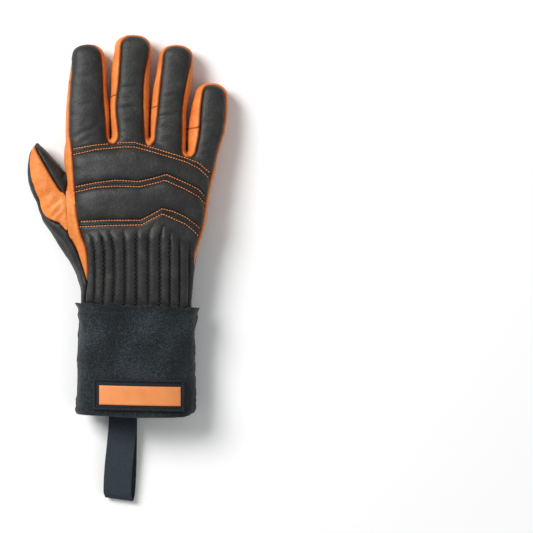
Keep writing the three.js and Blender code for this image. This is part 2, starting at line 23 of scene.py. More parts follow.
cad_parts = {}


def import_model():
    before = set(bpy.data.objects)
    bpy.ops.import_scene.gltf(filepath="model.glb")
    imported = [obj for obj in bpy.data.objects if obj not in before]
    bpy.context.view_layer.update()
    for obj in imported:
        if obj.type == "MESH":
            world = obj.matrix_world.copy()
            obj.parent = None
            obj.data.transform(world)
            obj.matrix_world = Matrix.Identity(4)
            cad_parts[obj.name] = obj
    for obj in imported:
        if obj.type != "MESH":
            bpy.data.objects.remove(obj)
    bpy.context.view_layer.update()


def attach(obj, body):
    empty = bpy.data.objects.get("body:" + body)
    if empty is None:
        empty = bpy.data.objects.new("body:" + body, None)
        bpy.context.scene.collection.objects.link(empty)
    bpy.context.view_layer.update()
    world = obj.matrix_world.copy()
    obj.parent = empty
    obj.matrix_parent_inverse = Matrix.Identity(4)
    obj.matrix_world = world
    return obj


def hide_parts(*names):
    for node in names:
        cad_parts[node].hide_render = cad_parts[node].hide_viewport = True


logging.basicConfig(level=logging.INFO, format="%(name)s: %(message)s")
log = logging.getLogger("glove")

Array = np.ndarray
Material = bpy.types.Material
Socket = bpy.types.NodeSocket
Places = Array | tuple[Array, ...]  # X, Y and Z of the points, drawing mm; some need only X and Y
Point = tuple[float, float]  # X and Y, seen from above
Line = tuple[Point, ...]

MM = 0.001
DRAWING_ZERO = np.array([5.23, -114.13, 0.0])  # the drawing's zero in the frame, mm
BODY = "root"
FLOOR_GAP = 0.02  # how far everything stays above the floor, mm
FULL_STEP = 1.0  # spacing of the hand's surface points, mm


# Numbers and curves


def to_frame(points: Array) -> Array:
    """Turns drawing millimetres into metres of the frame."""
    return (np.asarray(points, float) + DRAWING_ZERO) * MM


def step_up(value: Array, low: float, high: float) -> Array:
    """A smooth step from 0 at low to 1 at high."""
    t = np.clip((value - low) / (high - low), 0.0, 1.0)
    return t * t * (3 - 2 * t)


def groove(distance: Array, width: float) -> Array:
    """A rounded groove's depth share at a distance from its middle."""
    return np.exp(-((distance / width) ** 2))


def soft_min(a: Array, b: Array, width: float) -> Array:
    """The smaller of two distances, with a fillet of some width where they are about equal."""
    share = np.clip(0.5 + 0.5 * (b - a) / width, 0.0, 1.0)
    return b + (a - b) * share - width * share * (1 - share)


def overlap(*distances: Array) -> Array:
    """The largest of several signed distances, which is negative inside all of their shapes."""
    return functools.reduce(np.maximum, distances)


# The numbers of the usual sine hash, which gives each corner of a grid an uneven value
HASH_WAYS = np.array([127.1, 311.7, 74.7])
HASH_SCALE = 43758.5453
HASH_SHIFT = 0.37


def noise(points: Array, size: float, seed: int) -> Array:
    """Smooth noise from -1 to 1, the same each run.

    Args:
        points: points with their coordinates on the last axis, mm.
        size: about how far apart its bumps are, mm.
        seed: which noise it is.

    Returns:
        One value a point, in the points' own layout.
    """
    cell = points.reshape(-1, 3) / size + HASH_SHIFT * seed
    corner = np.floor(cell)
    t = cell - corner
    t = t * t * t * (t * (6 * t - 15) + 10)
    total = np.zeros(len(cell))
    for shift in itertools.product((0, 1), repeat=3):
        hashed = np.sin((corner + shift) @ HASH_WAYS + seed) * HASH_SCALE
        weight = np.prod(np.where(np.array(shift) == 1, t, 1 - t), axis=1)
        total += weight * (hashed - np.floor(hashed))
    return (2 * total - 1).reshape(points.shape[:-1])


def unit(vectors: Array) -> Array:
    """Vectors at length 1."""
    return vectors / np.maximum(np.linalg.norm(vectors, axis=-1, keepdims=True), 1e-9)


def off_floor(points: Array) -> Array:
    """The points, with those under the floor lifted to just above it."""
    return np.maximum(points, np.array([-np.inf, -np.inf, FLOOR_GAP]))


def grid_faces(grid: Array) -> Array:
    """The four-sided faces of a grid of point numbers."""
    return np.stack([grid[:-1, :-1], grid[1:, :-1], grid[1:, 1:], grid[:-1, 1:]], axis=-1).reshape(-1, 4)


def tube_faces(rings: int, around: int, start: int = 0) -> list[list[int]]:
    """The faces of a tube with a cap at each end.

    Args:
        rings: how many rings of points it has.
        around: how many points a ring has.
        start: the number of its first point.

    Returns:
        The points of each face.
    """
    grid = np.arange(rings * around).reshape(rings, around) + start
    sides = grid_faces(np.pad(grid, ((0, 0), (0, 1)), mode="wrap").T)
    return [*sides.tolist(), grid[0, ::-1].tolist(), grid[-1].tolist()]


@dataclass(frozen=True)
class Table:
    """Rows of Y and values at that Y, with a smooth curve through each column."""

    rows: tuple[tuple[float, ...], ...]

    def at(self, column: int, y: Array) -> Array:
        """The column's value at each Y.

        Args:
            column: which column, counted from 1 after Y.
            y: the places.

        Returns:
            The values, held constant past the ends.
        """
        rows = np.asarray(self.rows, float)
        ys, values = rows[:, 0], rows[:, column]
        count = np.arange(len(ys))
        low, high = np.maximum(count - 1, 0), np.minimum(count + 1, len(ys) - 1)
        slopes = (values[high] - values[low]) / (ys[high] - ys[low])
        i = np.clip(np.searchsorted(ys, y, side="right") - 1, 0, len(ys) - 2)
        span = ys[i + 1] - ys[i]
        t = np.clip((y - ys[i]) / span, 0.0, 1.0)
        t2, t3 = t * t, t * t * t
        return (
            values[i] * (2 * t3 - 3 * t2 + 1)
            + slopes[i] * span * (t3 - 2 * t2 + t)
            + values[i + 1] * (3 * t2 - 2 * t3)
            + slopes[i + 1] * span * (t3 - t2)
        )

    def sides(self, y: Array) -> list[Array]:
        """The left, right, bottom and top at each Y."""
        return [self.at(column, y) for column in (1, 2, 3, 4)]


@dataclass(frozen=True)
class Crossing:
    """A line that runs across the glove from left to right, seen from above."""

    points: Line

    def height(self, x: Array) -> Array:
        """The line's Y at each X."""
        xs, ys = np.array(self.points, float).T
        return np.interp(x, xs, ys)

    def side(self, at: Places) -> Array:
        """How far each point is from the line, positive towards the fingers."""
        slope = self.height(at[0] + 0.5) - self.height(at[0] - 0.5)
        return (at[1] - self.height(at[0])) / np.sqrt(1 + slope**2)

    def walk(self, pitch: float, start: float, end: float) -> Array:
        """Points a pitch apart along the line between two X."""
        fine = np.linspace(start, end, 600)
        return walk_along(np.stack([fine, self.height(fine)], axis=1), pitch)


def crossings(*rows: Line) -> tuple[Crossing, ...]:
    """Crossings from the rows of their points."""
    return tuple(Crossing(row) for row in rows)


def travelled(path: Array) -> Array:
    """How far along a path each of its points is."""
    return np.concatenate([[0.0], np.cumsum(np.linalg.norm(np.diff(path, axis=0), axis=1))])


def places_along(path: Array, at: Array) -> Array:
    """The places at some distances along a path of any dimension."""
    along = travelled(path)
    return np.stack([np.interp(at, along, column) for column in path.T], axis=1)


def walk_along(path: Array, pitch: float) -> Array:
    """Points about a pitch apart along a path of any dimension."""
    length = travelled(path)[-1]
    return places_along(path, np.linspace(0.0, length, max(2, round(length / pitch) + 1)))


def rounded_path(points: tuple[tuple[float, ...], ...], each: int) -> Array:
    """An open Catmull-Rom curve.

    Args:
        points: what it passes through.
        each: how many steps from one point to the next.

    Returns:
        The points of the curve.
    """
    given = np.asarray(points, float)
    ended = np.concatenate([given[:1], given, given[-1:]])
    t = np.linspace(0, 1, each, endpoint=False)[:, None]
    parts = []
    for a, b, c, d in zip(ended, ended[1:], ended[2:], ended[3:]):
        bend = (2 * a - 5 * b + 4 * c - d) * t**2
        parts.append(0.5 * (2 * b + (c - a) * t + bend + (3 * b - a - 3 * c + d) * t**3))
    return np.concatenate([*parts, given[-1:]])


class Outline:
    """A closed shape seen from above."""

    def __init__(self, points: list[Point]) -> None:
        """Keeps the corners in order."""
        self.points = np.asarray(points, float)

    def distance(self, at: Places) -> Array:
        """How far each point is from the edge, negative inside.

        Args:
            at: where the points are.

        Returns:
            The signed distances.
        """
        x, y = at[:2]
        nearest = np.full(x.shape, np.inf)
        inside = np.zeros(x.shape, bool)
        for (ax, ay), (bx, by) in zip(self.points, np.roll(self.points, -1, axis=0)):
            dx, dy = bx - ax, by - ay
            t = np.clip(((x - ax) * dx + (y - ay) * dy) / (dx * dx + dy * dy + 1e-12), 0, 1)
            nearest = np.minimum(nearest, (x - ax - t * dx) ** 2 + (y - ay - t * dy) ** 2)
            if ay != by:
                inside ^= ((ay > y) != (by > y)) & (x < ax + (y - ay) * dx / dy)
        return np.where(inside, -1, 1) * np.sqrt(nearest)


@dataclass(frozen=True)
class Wrinkle:
    """A soft crease between two points seen from above, deepest at its middle."""

    start: Point
    end: Point
    width: float
    depth: float

    def relief(self, at: Places) -> Array:
        """How far it moves each point out: down along it, and a little up beside it.

        Args:
            at: where the points are.

        Returns:
            The heights, mm.
        """
        x, y = at[:2]
        (ax, ay), (bx, by) = self.start, self.end
        dx, dy = bx - ax, by - ay
        t = np.clip(((x - ax) * dx + (y - ay) * dy) / (dx * dx + dy * dy), 0, 1)
        away = np.hypot(x - ax - t * dx, y - ay - t * dy)
        strength = 0.25 + 0.75 * np.sin(np.pi * t)
        swell = 0.45 * groove(away - 1.9 * self.width, self.width)
        return self.depth * strength * (swell - groove(away, self.width))


def wrinkles(*rows: tuple[float, ...]) -> tuple[Wrinkle, ...]:
    """Wrinkles from rows that hold X and Y of the start, X and Y of the end, width and depth."""
    return tuple(Wrinkle(row[:2], row[2:4], *row[4:]) for row in rows)


def creased(folds: tuple[Wrinkle, ...], at: Places) -> Array:
    """The relief of several wrinkles together."""
    return np.sum([fold.relief(at) for fold in folds], axis=0)


# The tables of the glove's sections, as its CAD model has them

LEATHER_END = 71.0
HAND_FRONT = 214.0
FRONT_FROM = 14.0
FRONT_SLOPE = -0.36
FRONT_BEGINS = 150.0
DOME_LENGTH = 11.5
DOME_POWER = 2.3
HAND_ROUNDING = 2.9
FINGER_ROUNDING = 2.6
THUMB_ROUNDING = 2.5
MOUTH_ROUNDING = 2.45
SEAM_LEVEL = 13.5
OUTSIDE = 140.0

# Y, then the section's left, right, bottom and top, then the edges of the back and of the palm leather
HAND = Table((
    (71, -41.2, 44.4, 2.3, 36.2, -38.8, 60, 60),
    (90, -41.6, 44.2, 2.2, 36.6, -38.6, 60, 60),
    (104, -42.4, 45.0, 1.2, 37.4, -36.6, 58, 58),
    (118, -43.6, 46.6, 0.2, 38.4, -36.2, 45.4, 43.6),
    (130, -45.4, 49.2, -0.6, 39.0, -37.8, 47.6, 46.4),
    (142, -48.0, 53.2, -1.2, 39.4, -42.2, 51.4, 50.4),
    (160, -51.8, 56.4, -1.2, 39.6, -45.6, 54.8, 53.4),
    (180, -53.6, 58.2, -1.2, 38.6, -47.2, 58.4, 56.6),
    (200, -54.0, 60.6, -0.8, 35.8, -48.4, 63.2, 60.8),
    (214, -54.0, 63.0, -0.4, 31.0, -50.2, 66.2, 63.6),
))


@dataclass(frozen=True)
class Finger:
    """One finger: its sections, its tip and how far its back and front leather reach."""

    table: Table
    tip: float
    back_tip: float
    front_tip: float

    def middle(self, y: Array) -> Array:
        """X of its middle at Y."""
        return (self.table.at(1, y) + self.table.at(2, y)) / 2


# Y, left, right, bottom, top, then the edges of the back leather and of the front leather
FINGERS = {
    "index": Finger(Table((
        (186, -54.0, -19.6, 2.4, 33.5, -48.0, -21.0, -51.0, -24.0),
        (215, -54.0, -19.6, 1.0, 30.5, -50.8, -21.6, -51.0, -24.0),
        (240, -54.0, -20.6, 0.4, 27.5, -51.3, -23.8, -51.0, -25.2),
        (262, -52.0, -22.4, 0.0, 25.0, -50.4, -25.0, -50.0, -27.6),
        (280, -49.0, -23.8, 0.4, 23.5, -49.4, -26.2, -46.5, -29.5),
    )), 289.5, 289.2, 283.5),
    "middle": Finger(Table((
        (186, -18.4, 10.6, 2.4, 35.0, -12.5, 8.0, -15.5, 7.0),
        (215, -18.4, 10.6, 1.0, 31.0, -12.5, 8.0, -15.5, 7.0),
        (240, -19.2, 10.8, 0.4, 28.0, -15.0, 6.8, -14.8, 8.6),
        (262, -18.8, 10.9, 0.0, 25.5, -12.5, 7.3, -13.8, 8.0),
        (285, -16.4, 12.5, 0.4, 23.8, -11.2, 11.6, -12.0, 7.4),
    )), 297.0, 296.0, 290.0),
    "ring": Finger(Table((
        (180, 11.8, 39.8, 2.4, 34.0, 15.5, 36.8, 15.0, 36.8),
        (215, 11.8, 39.6, 1.0, 30.0, 15.5, 36.8, 15.0, 36.8),
        (240, 12.7, 40.4, 0.4, 27.5, 18.0, 37.2, 18.4, 37.8),
        (262, 15.6, 44.8, 0.0, 25.0, 20.0, 40.8, 21.0, 40.5),
        (278, 18.4, 45.2, 0.4, 23.5, 21.4, 44.0, 22.8, 40.0),
    )), 289.5, 288.4, 283.0),
    "little": Finger(Table((
        (172, 40.6, 57.4, 3.0, 31.0, 44.0, 56.2, 43.5, 54.0),
        (204, 41.0, 65.2, 1.2, 28.5, 47.4, 64.0, 44.0, 60.6),
        (220, 41.2, 69.6, 0.6, 26.5, 50.2, 68.6, 44.8, 64.0),
        (238, 43.4, 72.2, 0.2, 24.5, 51.3, 70.6, 47.7, 66.0),
        (249, 46.4, 72.2, 0.4, 22.8, 52.4, 70.4, 50.2, 66.0),
    )), 259.0, 257.8, 254.5),
}

THUMB = Table((
    (94, -41.4, -16.0, 2.6, 30.0),
    (108, -45.4, -14.0, 1.0, 30.5),
    (120, -51.0, -16.0, 0.2, 31.0),
    (135, -60.6, -22.0, 0.0, 31.0),
    (150, -70.4, -30.0, 0.0, 31.0),
    (165, -76.4, -40.0, 0.0, 30.0),
    (178, -81.8, -48.5, 0.0, 28.5),
    (190, -83.4, -56.0, 0.4, 27.0),
    (202, -82.4, -66.6, 1.6, 25.4),
    (207, -80.9, -71.2, 3.4, 22.5),
    (210.5, -79.2, -74.8, 6.0, 18.5),
))
THUMB_TIP = 212.5
THUMB_TIP_X = -77.4
THUMB_DOME = 4.0

CUFF_ROWS = Table((
    (-2, -44.8, 47.2, -1.2, 38.2),
    (20, -44.6, 47.2, -1.2, 38.4),
    (45, -43.9, 46.4, -1.2, 38.4),
    (70, -43.5, 46.6, -1.2, 38.5),
    (88, -43.9, 47.2, -1.2, 38.9),
))


def dome_share(y: Array, tip: float, length: float = DOME_LENGTH) -> Array:
    """How wide a fingertip still is at Y, from 1 at its dome's foot to 0 at its tip."""
    s = np.clip((y - tip + length) / length, 0, 1)
    return (1 - s**DOME_POWER) ** (1 / DOME_POWER)


@dataclass(frozen=True)
class Lobe:
    """A tube of rounded oblong sections with a dome at its tip, as a field of distances."""

    table: Table
    tip: float
    rounding: float
    dome: float = DOME_LENGTH
    foot: float = 12.0
    tip_x: float | None = None
    slanted: bool = False

    def distance(self, at: Places) -> Array:
        """About how far each point is from the tube's surface, negative inside.

        Args:
            at: where the points are.

        Returns:
            The distances, mm.
        """
        x, y, z = at
        y = station(x, y) if self.slanted else y
        left, right, bottom, top = self.table.sides(y)
        half_x, half_z = (right - left) / 2, (top - bottom) / 2
        middle_x, middle_z = (left + right) / 2, (top + bottom) / 2
        past = np.maximum((y - self.tip + self.dome) / self.dome, 0)
        start = self.table.rows[0][0] + self.foot
        before = np.maximum((start - y) / self.foot, 0) if self.foot else 0.0
        if self.tip_x is not None:
            middle_x = middle_x + (self.tip_x - middle_x) * (1 - dome_share(y, self.tip, self.dome))
        u, w = np.abs(x - middle_x) / half_x, np.abs(z - middle_z) / half_z
        power = self.rounding
        ring = np.maximum((u**power + w**power) ** (1 / power), 1e-6)
        ends = np.maximum(past, before)
        whole = (ring**DOME_POWER + ends**DOME_POWER) ** (1 / DOME_POWER)
        ring_slope = np.hypot(u ** (power - 1) / half_x, w ** (power - 1) / half_z) / ring ** (power - 1)
        end_slope = (ends / whole) ** (DOME_POWER - 1) / self.dome
        slope = np.hypot(ring_slope * (ring / whole) ** (DOME_POWER - 1), end_slope)
        return (whole - 1) / np.maximum(slope, 1e-3)


def station(x: Array, y: Array) -> Array:
    """Finds the section of the hand that each point lies on: its front runs back towards the little finger.

    Args:
        x: the points' X.
        y: the points' Y.

    Returns:
        The sections' Y.
    """
    reach = FRONT_SLOPE * np.maximum(x - FRONT_FROM, 0)
    found = y + 0 * reach
    for _ in range(5):
        share = np.clip((found - FRONT_BEGINS) / (HAND_FRONT - FRONT_BEGINS), 0, 1)
        found = y - reach * share
    return found


@dataclass(frozen=True)
class HandField:
    """The whole leather hand as one field of distances, resting on the surface it lies on.

    Each blend is the width of the fillet where two of its tubes meet, mm.
    """

    finger_blend: float = 0.6
    knuckle_blend: float = 4.0
    web_blend: float = 3.5
    floor_blend: float = 2.0
    slope_reach: float = 0.25
    longest_move: float = 0.6
    hand: Lobe = Lobe(HAND, HAND_FRONT + 0.6, HAND_ROUNDING, dome=8.0, foot=0.0, slanted=True)
    fingers: tuple[Lobe, ...] = tuple(Lobe(f.table, f.tip, FINGER_ROUNDING) for f in FINGERS.values())
    thumb: Lobe = Lobe(THUMB, THUMB_TIP, THUMB_ROUNDING, dome=THUMB_DOME, tip_x=THUMB_TIP_X)

    def distance(self, at: Places) -> Array:
        """About how far each point is from the leather's outside, negative inside.

        Args:
            at: where the points are.

        Returns:
            The distances, mm.
        """
        fingers = self.fingers[0].distance(at)
        for lobe in self.fingers[1:]:
            fingers = soft_min(fingers, lobe.distance(at), self.finger_blend)
        whole = soft_min(self.hand.distance(at), fingers, self.knuckle_blend)
        whole = soft_min(whole, self.thumb.distance(at), self.web_blend)
        return -soft_min(-whole, at[2] + 0 * whole, self.floor_blend)

    def normals(self, points: Array) -> Array:
        """The outward directions at points on or near the surface."""
        pairs = [(points + shift, points - shift) for shift in self.slope_reach * np.eye(3)]
        return unit(np.stack([self.distance(a.T) - self.distance(b.T) for a, b in pairs], axis=1))

    def settled(self, points: Array, rounds: int) -> Array:
        """Moves points onto the surface.

        Args:
            points: points near it, mm.
            rounds: how many times each is moved.

        Returns:
            The moved points.
        """
        for _ in range(rounds):
            away = np.clip(self.distance(points.T), -self.longest_move, self.longest_move)
            points = points - self.normals(points) * away[:, None]
        return points


# Skins: triangle meshes in drawing millimetres


@dataclass
class Skin:
    """Points and the triangles between them; a cut moves a point that is nearer than the snap."""

    points: Array
    triangles: Array
    snap: float = 0.25  # a share of an edge

    def __post_init__(self) -> None:
        """Keeps only the points that a triangle uses."""
        used, renumbered = np.unique(self.triangles, return_inverse=True)
        self.points, self.triangles = self.points[used], renumbered.reshape(-1, 3)

    def sides(self) -> Array:
        """The sides of every triangle, each as two points in the triangle's direction."""
        return np.concatenate([self.triangles[:, pair] for pair in ([0, 1], [1, 2], [2, 0])])

    def edges(self) -> tuple[Array, Array, Array]:
        """Finds every edge once.

        Returns:
            The edges, the edge that each side lies on, and how many sides lie on each edge.
        """
        pairs = np.sort(self.sides(), axis=1)
        found, owner, counts = np.unique(pairs, axis=0, return_inverse=True, return_counts=True)
        return found, owner.reshape(-1), counts

    def area(self) -> float:
        """The surface's area."""
        a, b, c = (self.points[self.triangles[:, k]] for k in range(3))
        return float(np.linalg.norm(np.cross(b - a, c - a), axis=1).sum() / 2)

    def rim(self) -> Array:
        """The sides that no other triangle shares."""
        _, owner, counts = self.edges()
        return self.sides()[counts[owner] == 1]

    def clipped(self, values: Array) -> Skin:
        """The part where the values are below zero, with its edge along their zero line.

        Args:
            values: one value a point.

        Returns:
            A new skin. A point close to the line is moved onto it, so no sliver is left.
        """
        points, values = self.points.copy(), values.copy()
        a, b = self.edges()[0].T
        crossing = values[a] * values[b] < 0
        a, b = a[crossing], b[crossing]
        share = values[a] / (values[a] - values[b])
        for near, far, t in ((a, b, share), (b, a, 1 - share)):
            close = t < self.snap
            start = self.points[near[close]]
            points[near[close]] = start + (self.points[far[close]] - start) * t[close][:, None]
            values[near[close]] = 0.0
        signs = np.sign(values)[self.triangles]
        low, high = signs.min(axis=1), signs.max(axis=1)
        kept = [self.triangles[(low < 0) & (high <= 0)]]
        extra: list[Array] = []
        made: dict[tuple[int, int], int] = {}
        pieces: list[tuple[int, int, int]] = []

        def between(i: int, j: int) -> int:
            """Makes the point where the zero line crosses an edge, once.

            Args:
                i: the number of the edge's one end.
                j: the number of its other end.

            Returns:
                The point's number.
            """
            i, j = min(i, j), max(i, j)
            if (i, j) not in made:
                made[i, j] = len(points) + len(extra)
                share = values[i] / (values[i] - values[j])
                extra.append(points[i] + (points[j] - points[i]) * share)
            return made[i, j]

        for triangle in self.triangles[(low < 0) & (high > 0)].tolist():
            shape = []
            for i, j in zip(triangle, triangle[1:] + triangle[:1]):
                if values[i] <= 0:
                    shape.append(i)
                if values[i] * values[j] < 0:
                    shape.append(between(i, j))
            pieces += [(shape[0], shape[k], shape[k + 1]) for k in range(1, len(shape) - 1)]
        if pieces:
            kept.append(np.array(pieces))
        return Skin(np.concatenate([points, np.array(extra).reshape(-1, 3)]), np.concatenate(kept))

    def refined(self) -> Skin:
        """Splits every triangle at the middles of its sides.

        Returns:
            The same surface with four triangles for each one.
        """
        found, owner, _ = self.edges()
        ab, bc, ca = owner.reshape(3, -1) + len(self.points)
        a, b, c = self.triangles.T
        corners = [np.stack(s, axis=1) for s in ((a, ab, ca), (ab, b, bc), (ca, bc, c), (ab, bc, ca))]
        return Skin(np.concatenate([self.points, self.points[found].mean(axis=1)]), np.concatenate(corners))

    def largest(self) -> Skin:
        """Drops the crumbs that a cut leaves.

        Returns:
            The largest connected part.
        """
        label = np.arange(len(self.points))
        a, b = self.edges()[0].T
        while True:
            lowest = label.copy()
            np.minimum.at(lowest, a, label[b])
            np.minimum.at(lowest, b, label[a])
            lowest = lowest[lowest]
            if (lowest == label).all():
                break
            label = lowest
        owner = label[self.triangles[:, 0]]
        names, counts = np.unique(owner, return_counts=True)
        return Skin(self.points, self.triangles[owner == names[counts.argmax()]])


def surface_net(field: HandField, low: tuple[float, ...], high: tuple[float, ...], step: float) -> Skin:
    """The surface where a field is zero, as a smooth net of about even triangles.

    Args:
        field: the field of distances.
        low: lowest corner of the space, mm.
        high: highest corner of the space, mm.
        step: spacing of the samples, mm.

    Returns:
        The surface, open where it leaves the space.
    """
    axes = [np.arange(a, b, step) for a, b in zip(low, high)]
    x, y, z = np.meshgrid(*axes, indexing="ij", sparse=True)
    values = field.distance((x, y, z))
    inside = values < 0
    cells = tuple(n - 1 for n in values.shape)
    count = np.zeros(cells, int)
    for shift in itertools.product((0, 1), repeat=3):
        count += inside[tuple(slice(s, s + n) for s, n in zip(shift, cells))]
    active = (count > 0) & (count < 8)
    places = np.argwhere(active)
    index = np.full(cells, -1)
    index[active] = np.arange(len(places))
    total, hits = np.zeros((len(places), 3)), np.zeros(len(places))
    for axis in range(3):
        across = [k for k in range(3) if k != axis]
        for shift in itertools.product((0, 1), repeat=2):
            start = places.copy()
            start[:, across] += shift
            end = start.copy()
            end[:, axis] += 1
            va, vb = values[tuple(start.T)], values[tuple(end.T)]
            cut = (va < 0) != (vb < 0)
            where = start[cut].astype(float)
            where[:, axis] += va[cut] / (va[cut] - vb[cut])
            total[cut] += where
            hits[cut] += 1
    points = np.array(low) + step * total / hits[:, None]
    triangles = []
    for axis in range(3):
        u, w = (axis + 1) % 3, (axis + 2) % 3
        lower = [slice(None)] * 3
        upper = [slice(None)] * 3
        lower[axis], upper[axis] = slice(0, -1), slice(1, None)
        edge = np.argwhere(inside[tuple(lower)] != inside[tuple(upper)])
        fits = (edge[:, u] > 0) & (edge[:, w] > 0) & (edge[:, u] < cells[u]) & (edge[:, w] < cells[w])
        edge = edge[fits]
        corners = []
        for du, dw in ((1, 1), (0, 1), (0, 0), (1, 0)):
            cell = edge.copy()
            cell[:, u] -= du
            cell[:, w] -= dw
            corners.append(index[tuple(cell.T)])
        quads = np.stack(corners, axis=1)
        leaving = inside[tuple(edge.T)]
        quads[~leaving] = quads[~leaving][:, ::-1]
        triangles += [quads[:, [0, 1, 2]], quads[:, [0, 2, 3]]]
    return Skin(points, np.concatenate(triangles))


# Finishes


def linear(code: str) -> tuple[float, float, float, float]:
    """An sRGB hex colour as linear red, green, blue and alpha.

    Args:
        code: the colour, such as #ff8000.

    Returns:
        The four shares.
    """
    shares = [int(code[i : i + 2], 16) / 255 for i in (1, 3, 5)]
    values = [c / 12.92 if c <= 0.04045 else ((c + 0.055) / 1.055) ** 2.4 for c in shares]
    return (values[0], values[1], values[2], 1.0)


def add(
    tree: bpy.types.NodeTree,
    kind: str,
    values: dict[str | int, object] | None = None,
    links: dict[str | int, Socket] | None = None,
    stops: tuple[tuple[float, str], ...] = (),
    **settings: object,
) -> bpy.types.Node:
    """Adds a node.

    Args:
        tree: the material's nodes.
        kind: the node's type, such as TexNoise.
        values: what its inputs are set to.
        links: what its inputs are fed from.
        stops: where it is a ramp, the place and hex colour of each stop.
        settings: its own settings.

    Returns:
        The new node.
    """
    made = tree.nodes.new(f"ShaderNode{kind}")
    for name, value in settings.items():
        setattr(made, name, value)
    for name, value in (values or {}).items():
        made.inputs[name].default_value = value
    for name, source in (links or {}).items():
        tree.links.new(source, made.inputs[name])
    for index, (place, code) in enumerate(stops):
        elements = made.color_ramp.elements
        element = elements[index] if index < len(elements) else elements.new(1.0)
        element.position, element.color = place, linear(code)
    return made


def per_metre(size_mm: float) -> float:
    """The scale of a texture whose pattern repeats about every so many millimetres."""
    return 1.0 / (size_mm * MM)


class Surface:
    """A material while it is made."""

    def __init__(self, name: str, **numbers: float) -> None:
        """Starts the material.

        Args:
            name: its name.
            numbers: what its shader's own sockets are set to, each named with _ for a space.
        """
        self.material = bpy.data.materials.new(name)
        self.material.use_nodes = True
        self.tree = self.material.node_tree
        self.shader = self.tree.nodes["Principled BSDF"]
        for socket, number in numbers.items():
            self.shader.inputs[socket.replace("_", " ")].default_value = number

    def place(self) -> dict[str, Socket]:
        """What feeds a texture with the place of each point on the object."""
        return {"Vector": add(self.tree, "TexCoord").outputs["Object"]}

    def dressed(self, colour: Socket, bump: bpy.types.Node) -> Material:
        """Feeds the colour and the bumps to the shader.

        Args:
            colour: the socket that gives the colour.
            bump: the node that gives the bumps.

        Returns:
            The finished material.
        """
        for source, socket in ((colour, "Base Color"), (bump.outputs["Normal"], "Normal")):
            self.tree.links.new(source, self.shader.inputs[socket])
        return self.material


LINING = "#34322f"  # the fleece that the leather's inside is faced with


@dataclass(frozen=True)
class GrainLeather:
    """Goatskin, drum-dyed and milled.

    The tumbling raises a pebbled grain, which gives the eye a matt leather with a broad soft sheen, broken up
    by small lights. Where an edge is turned into a seam it shades itself and looks darker; that shade, and
    the shade in stitched rows, rib valleys and joins, is painted into the colour from the mesh's seam share.
    """

    name: str
    dark: str
    body: str
    light: str
    seam: str
    grain: float
    roughness: float
    # the colour of the painted shade in seams, stitched rows, rib valleys and joins
    bump: float

    def material(self) -> Material:
        """Makes the material.

        Returns:
            The material, which reads from the mesh where its seams and its inside are.
        """
        made = Surface(self.name, Roughness=self.roughness, IOR=1.5, Specular_IOR_Level=0.3)
        tree, place = made.tree, made.place()
        # The dye takes unevenly over about 14 mm
        cloud = add(tree, "TexNoise", {"Scale": per_metre(14), "Detail": 4.0, "Roughness": 0.55}, place)
        speck = add(tree, "TexNoise", {"Scale": per_metre(self.grain), "Detail": 2.0}, place)
        pebble = add(tree, "TexVoronoi", {"Scale": per_metre(self.grain), "Smoothness": 0.6}, place,
                     feature="SMOOTH_F1")
        both = add(tree, "Mix", {"Factor": 0.42}, {"A": cloud.outputs["Fac"], "B": speck.outputs["Fac"]})
        tone = add(tree, "ValToRGB", links={"Fac": both.outputs["Result"]},
                   stops=((0.32, self.dark), (0.5, self.body), (0.68, self.light)))
        colour = tone.outputs["Color"]
        # The seam share mixes in the seam colour as painted shade; the inside share gives the lining's own
        # colour
        for mark, code in (("seam", self.seam), ("inside", LINING)):
            share = add(tree, "Attribute", attribute_name=mark).outputs["Fac"]
            mixed = add(tree, "Mix", {7: linear(code)}, {"Factor": share, 6: colour}, data_type="RGBA")
            colour = mixed.outputs[2]
        grain = add(tree, "Mix", {"Factor": 0.45},
                    {"A": pebble.outputs["Distance"], "B": speck.outputs["Fac"]})
        bump = add(tree, "Bump", {"Strength": self.bump, "Distance": 0.35 * MM},
                   {"Height": grain.outputs["Result"]})
        return made.dressed(colour, bump)


@dataclass(frozen=True)
class SplitSuede:
    """Split cowhide, buffed.

    The buffing raises a short nap, which gives the eye a mottled surface with no gloss and lighter fibre ends
    all over, paler where the nap has been stroked up.
    """

    name: str
    deep: str
    body: str
    fibre: str

    def material(self) -> Material:
        """Makes the material.

        Returns:
            The material.
        """
        made = Surface(
            self.name, Roughness=0.95, Specular_IOR_Level=0.15, Sheen_Weight=0.12, Sheen_Roughness=0.6
        )
        tree, place = made.tree, made.place()
        # The nap is stroked in patches of about 34 mm; its 0.1 mm fibres are drawn as 1.1 mm tufts to show
        patch = add(tree, "TexNoise", {"Scale": per_metre(34), "Detail": 1.0}, place)
        nap = add(tree, "TexNoise", {"Scale": per_metre(1.1), "Detail": 3.0, "Roughness": 0.7}, place)
        both = add(tree, "Mix", {"Factor": 0.66}, {"A": patch.outputs["Fac"], "B": nap.outputs["Fac"]})
        tone = add(tree, "ValToRGB", links={"Fac": both.outputs["Result"]},
                   stops=((0.37, self.deep), (0.5, self.body), (0.65, self.fibre)))
        bump = add(tree, "Bump", {"Strength": 0.55, "Distance": 0.5 * MM}, {"Height": nap.outputs["Fac"]})
        return made.dressed(tone.outputs["Color"], bump)


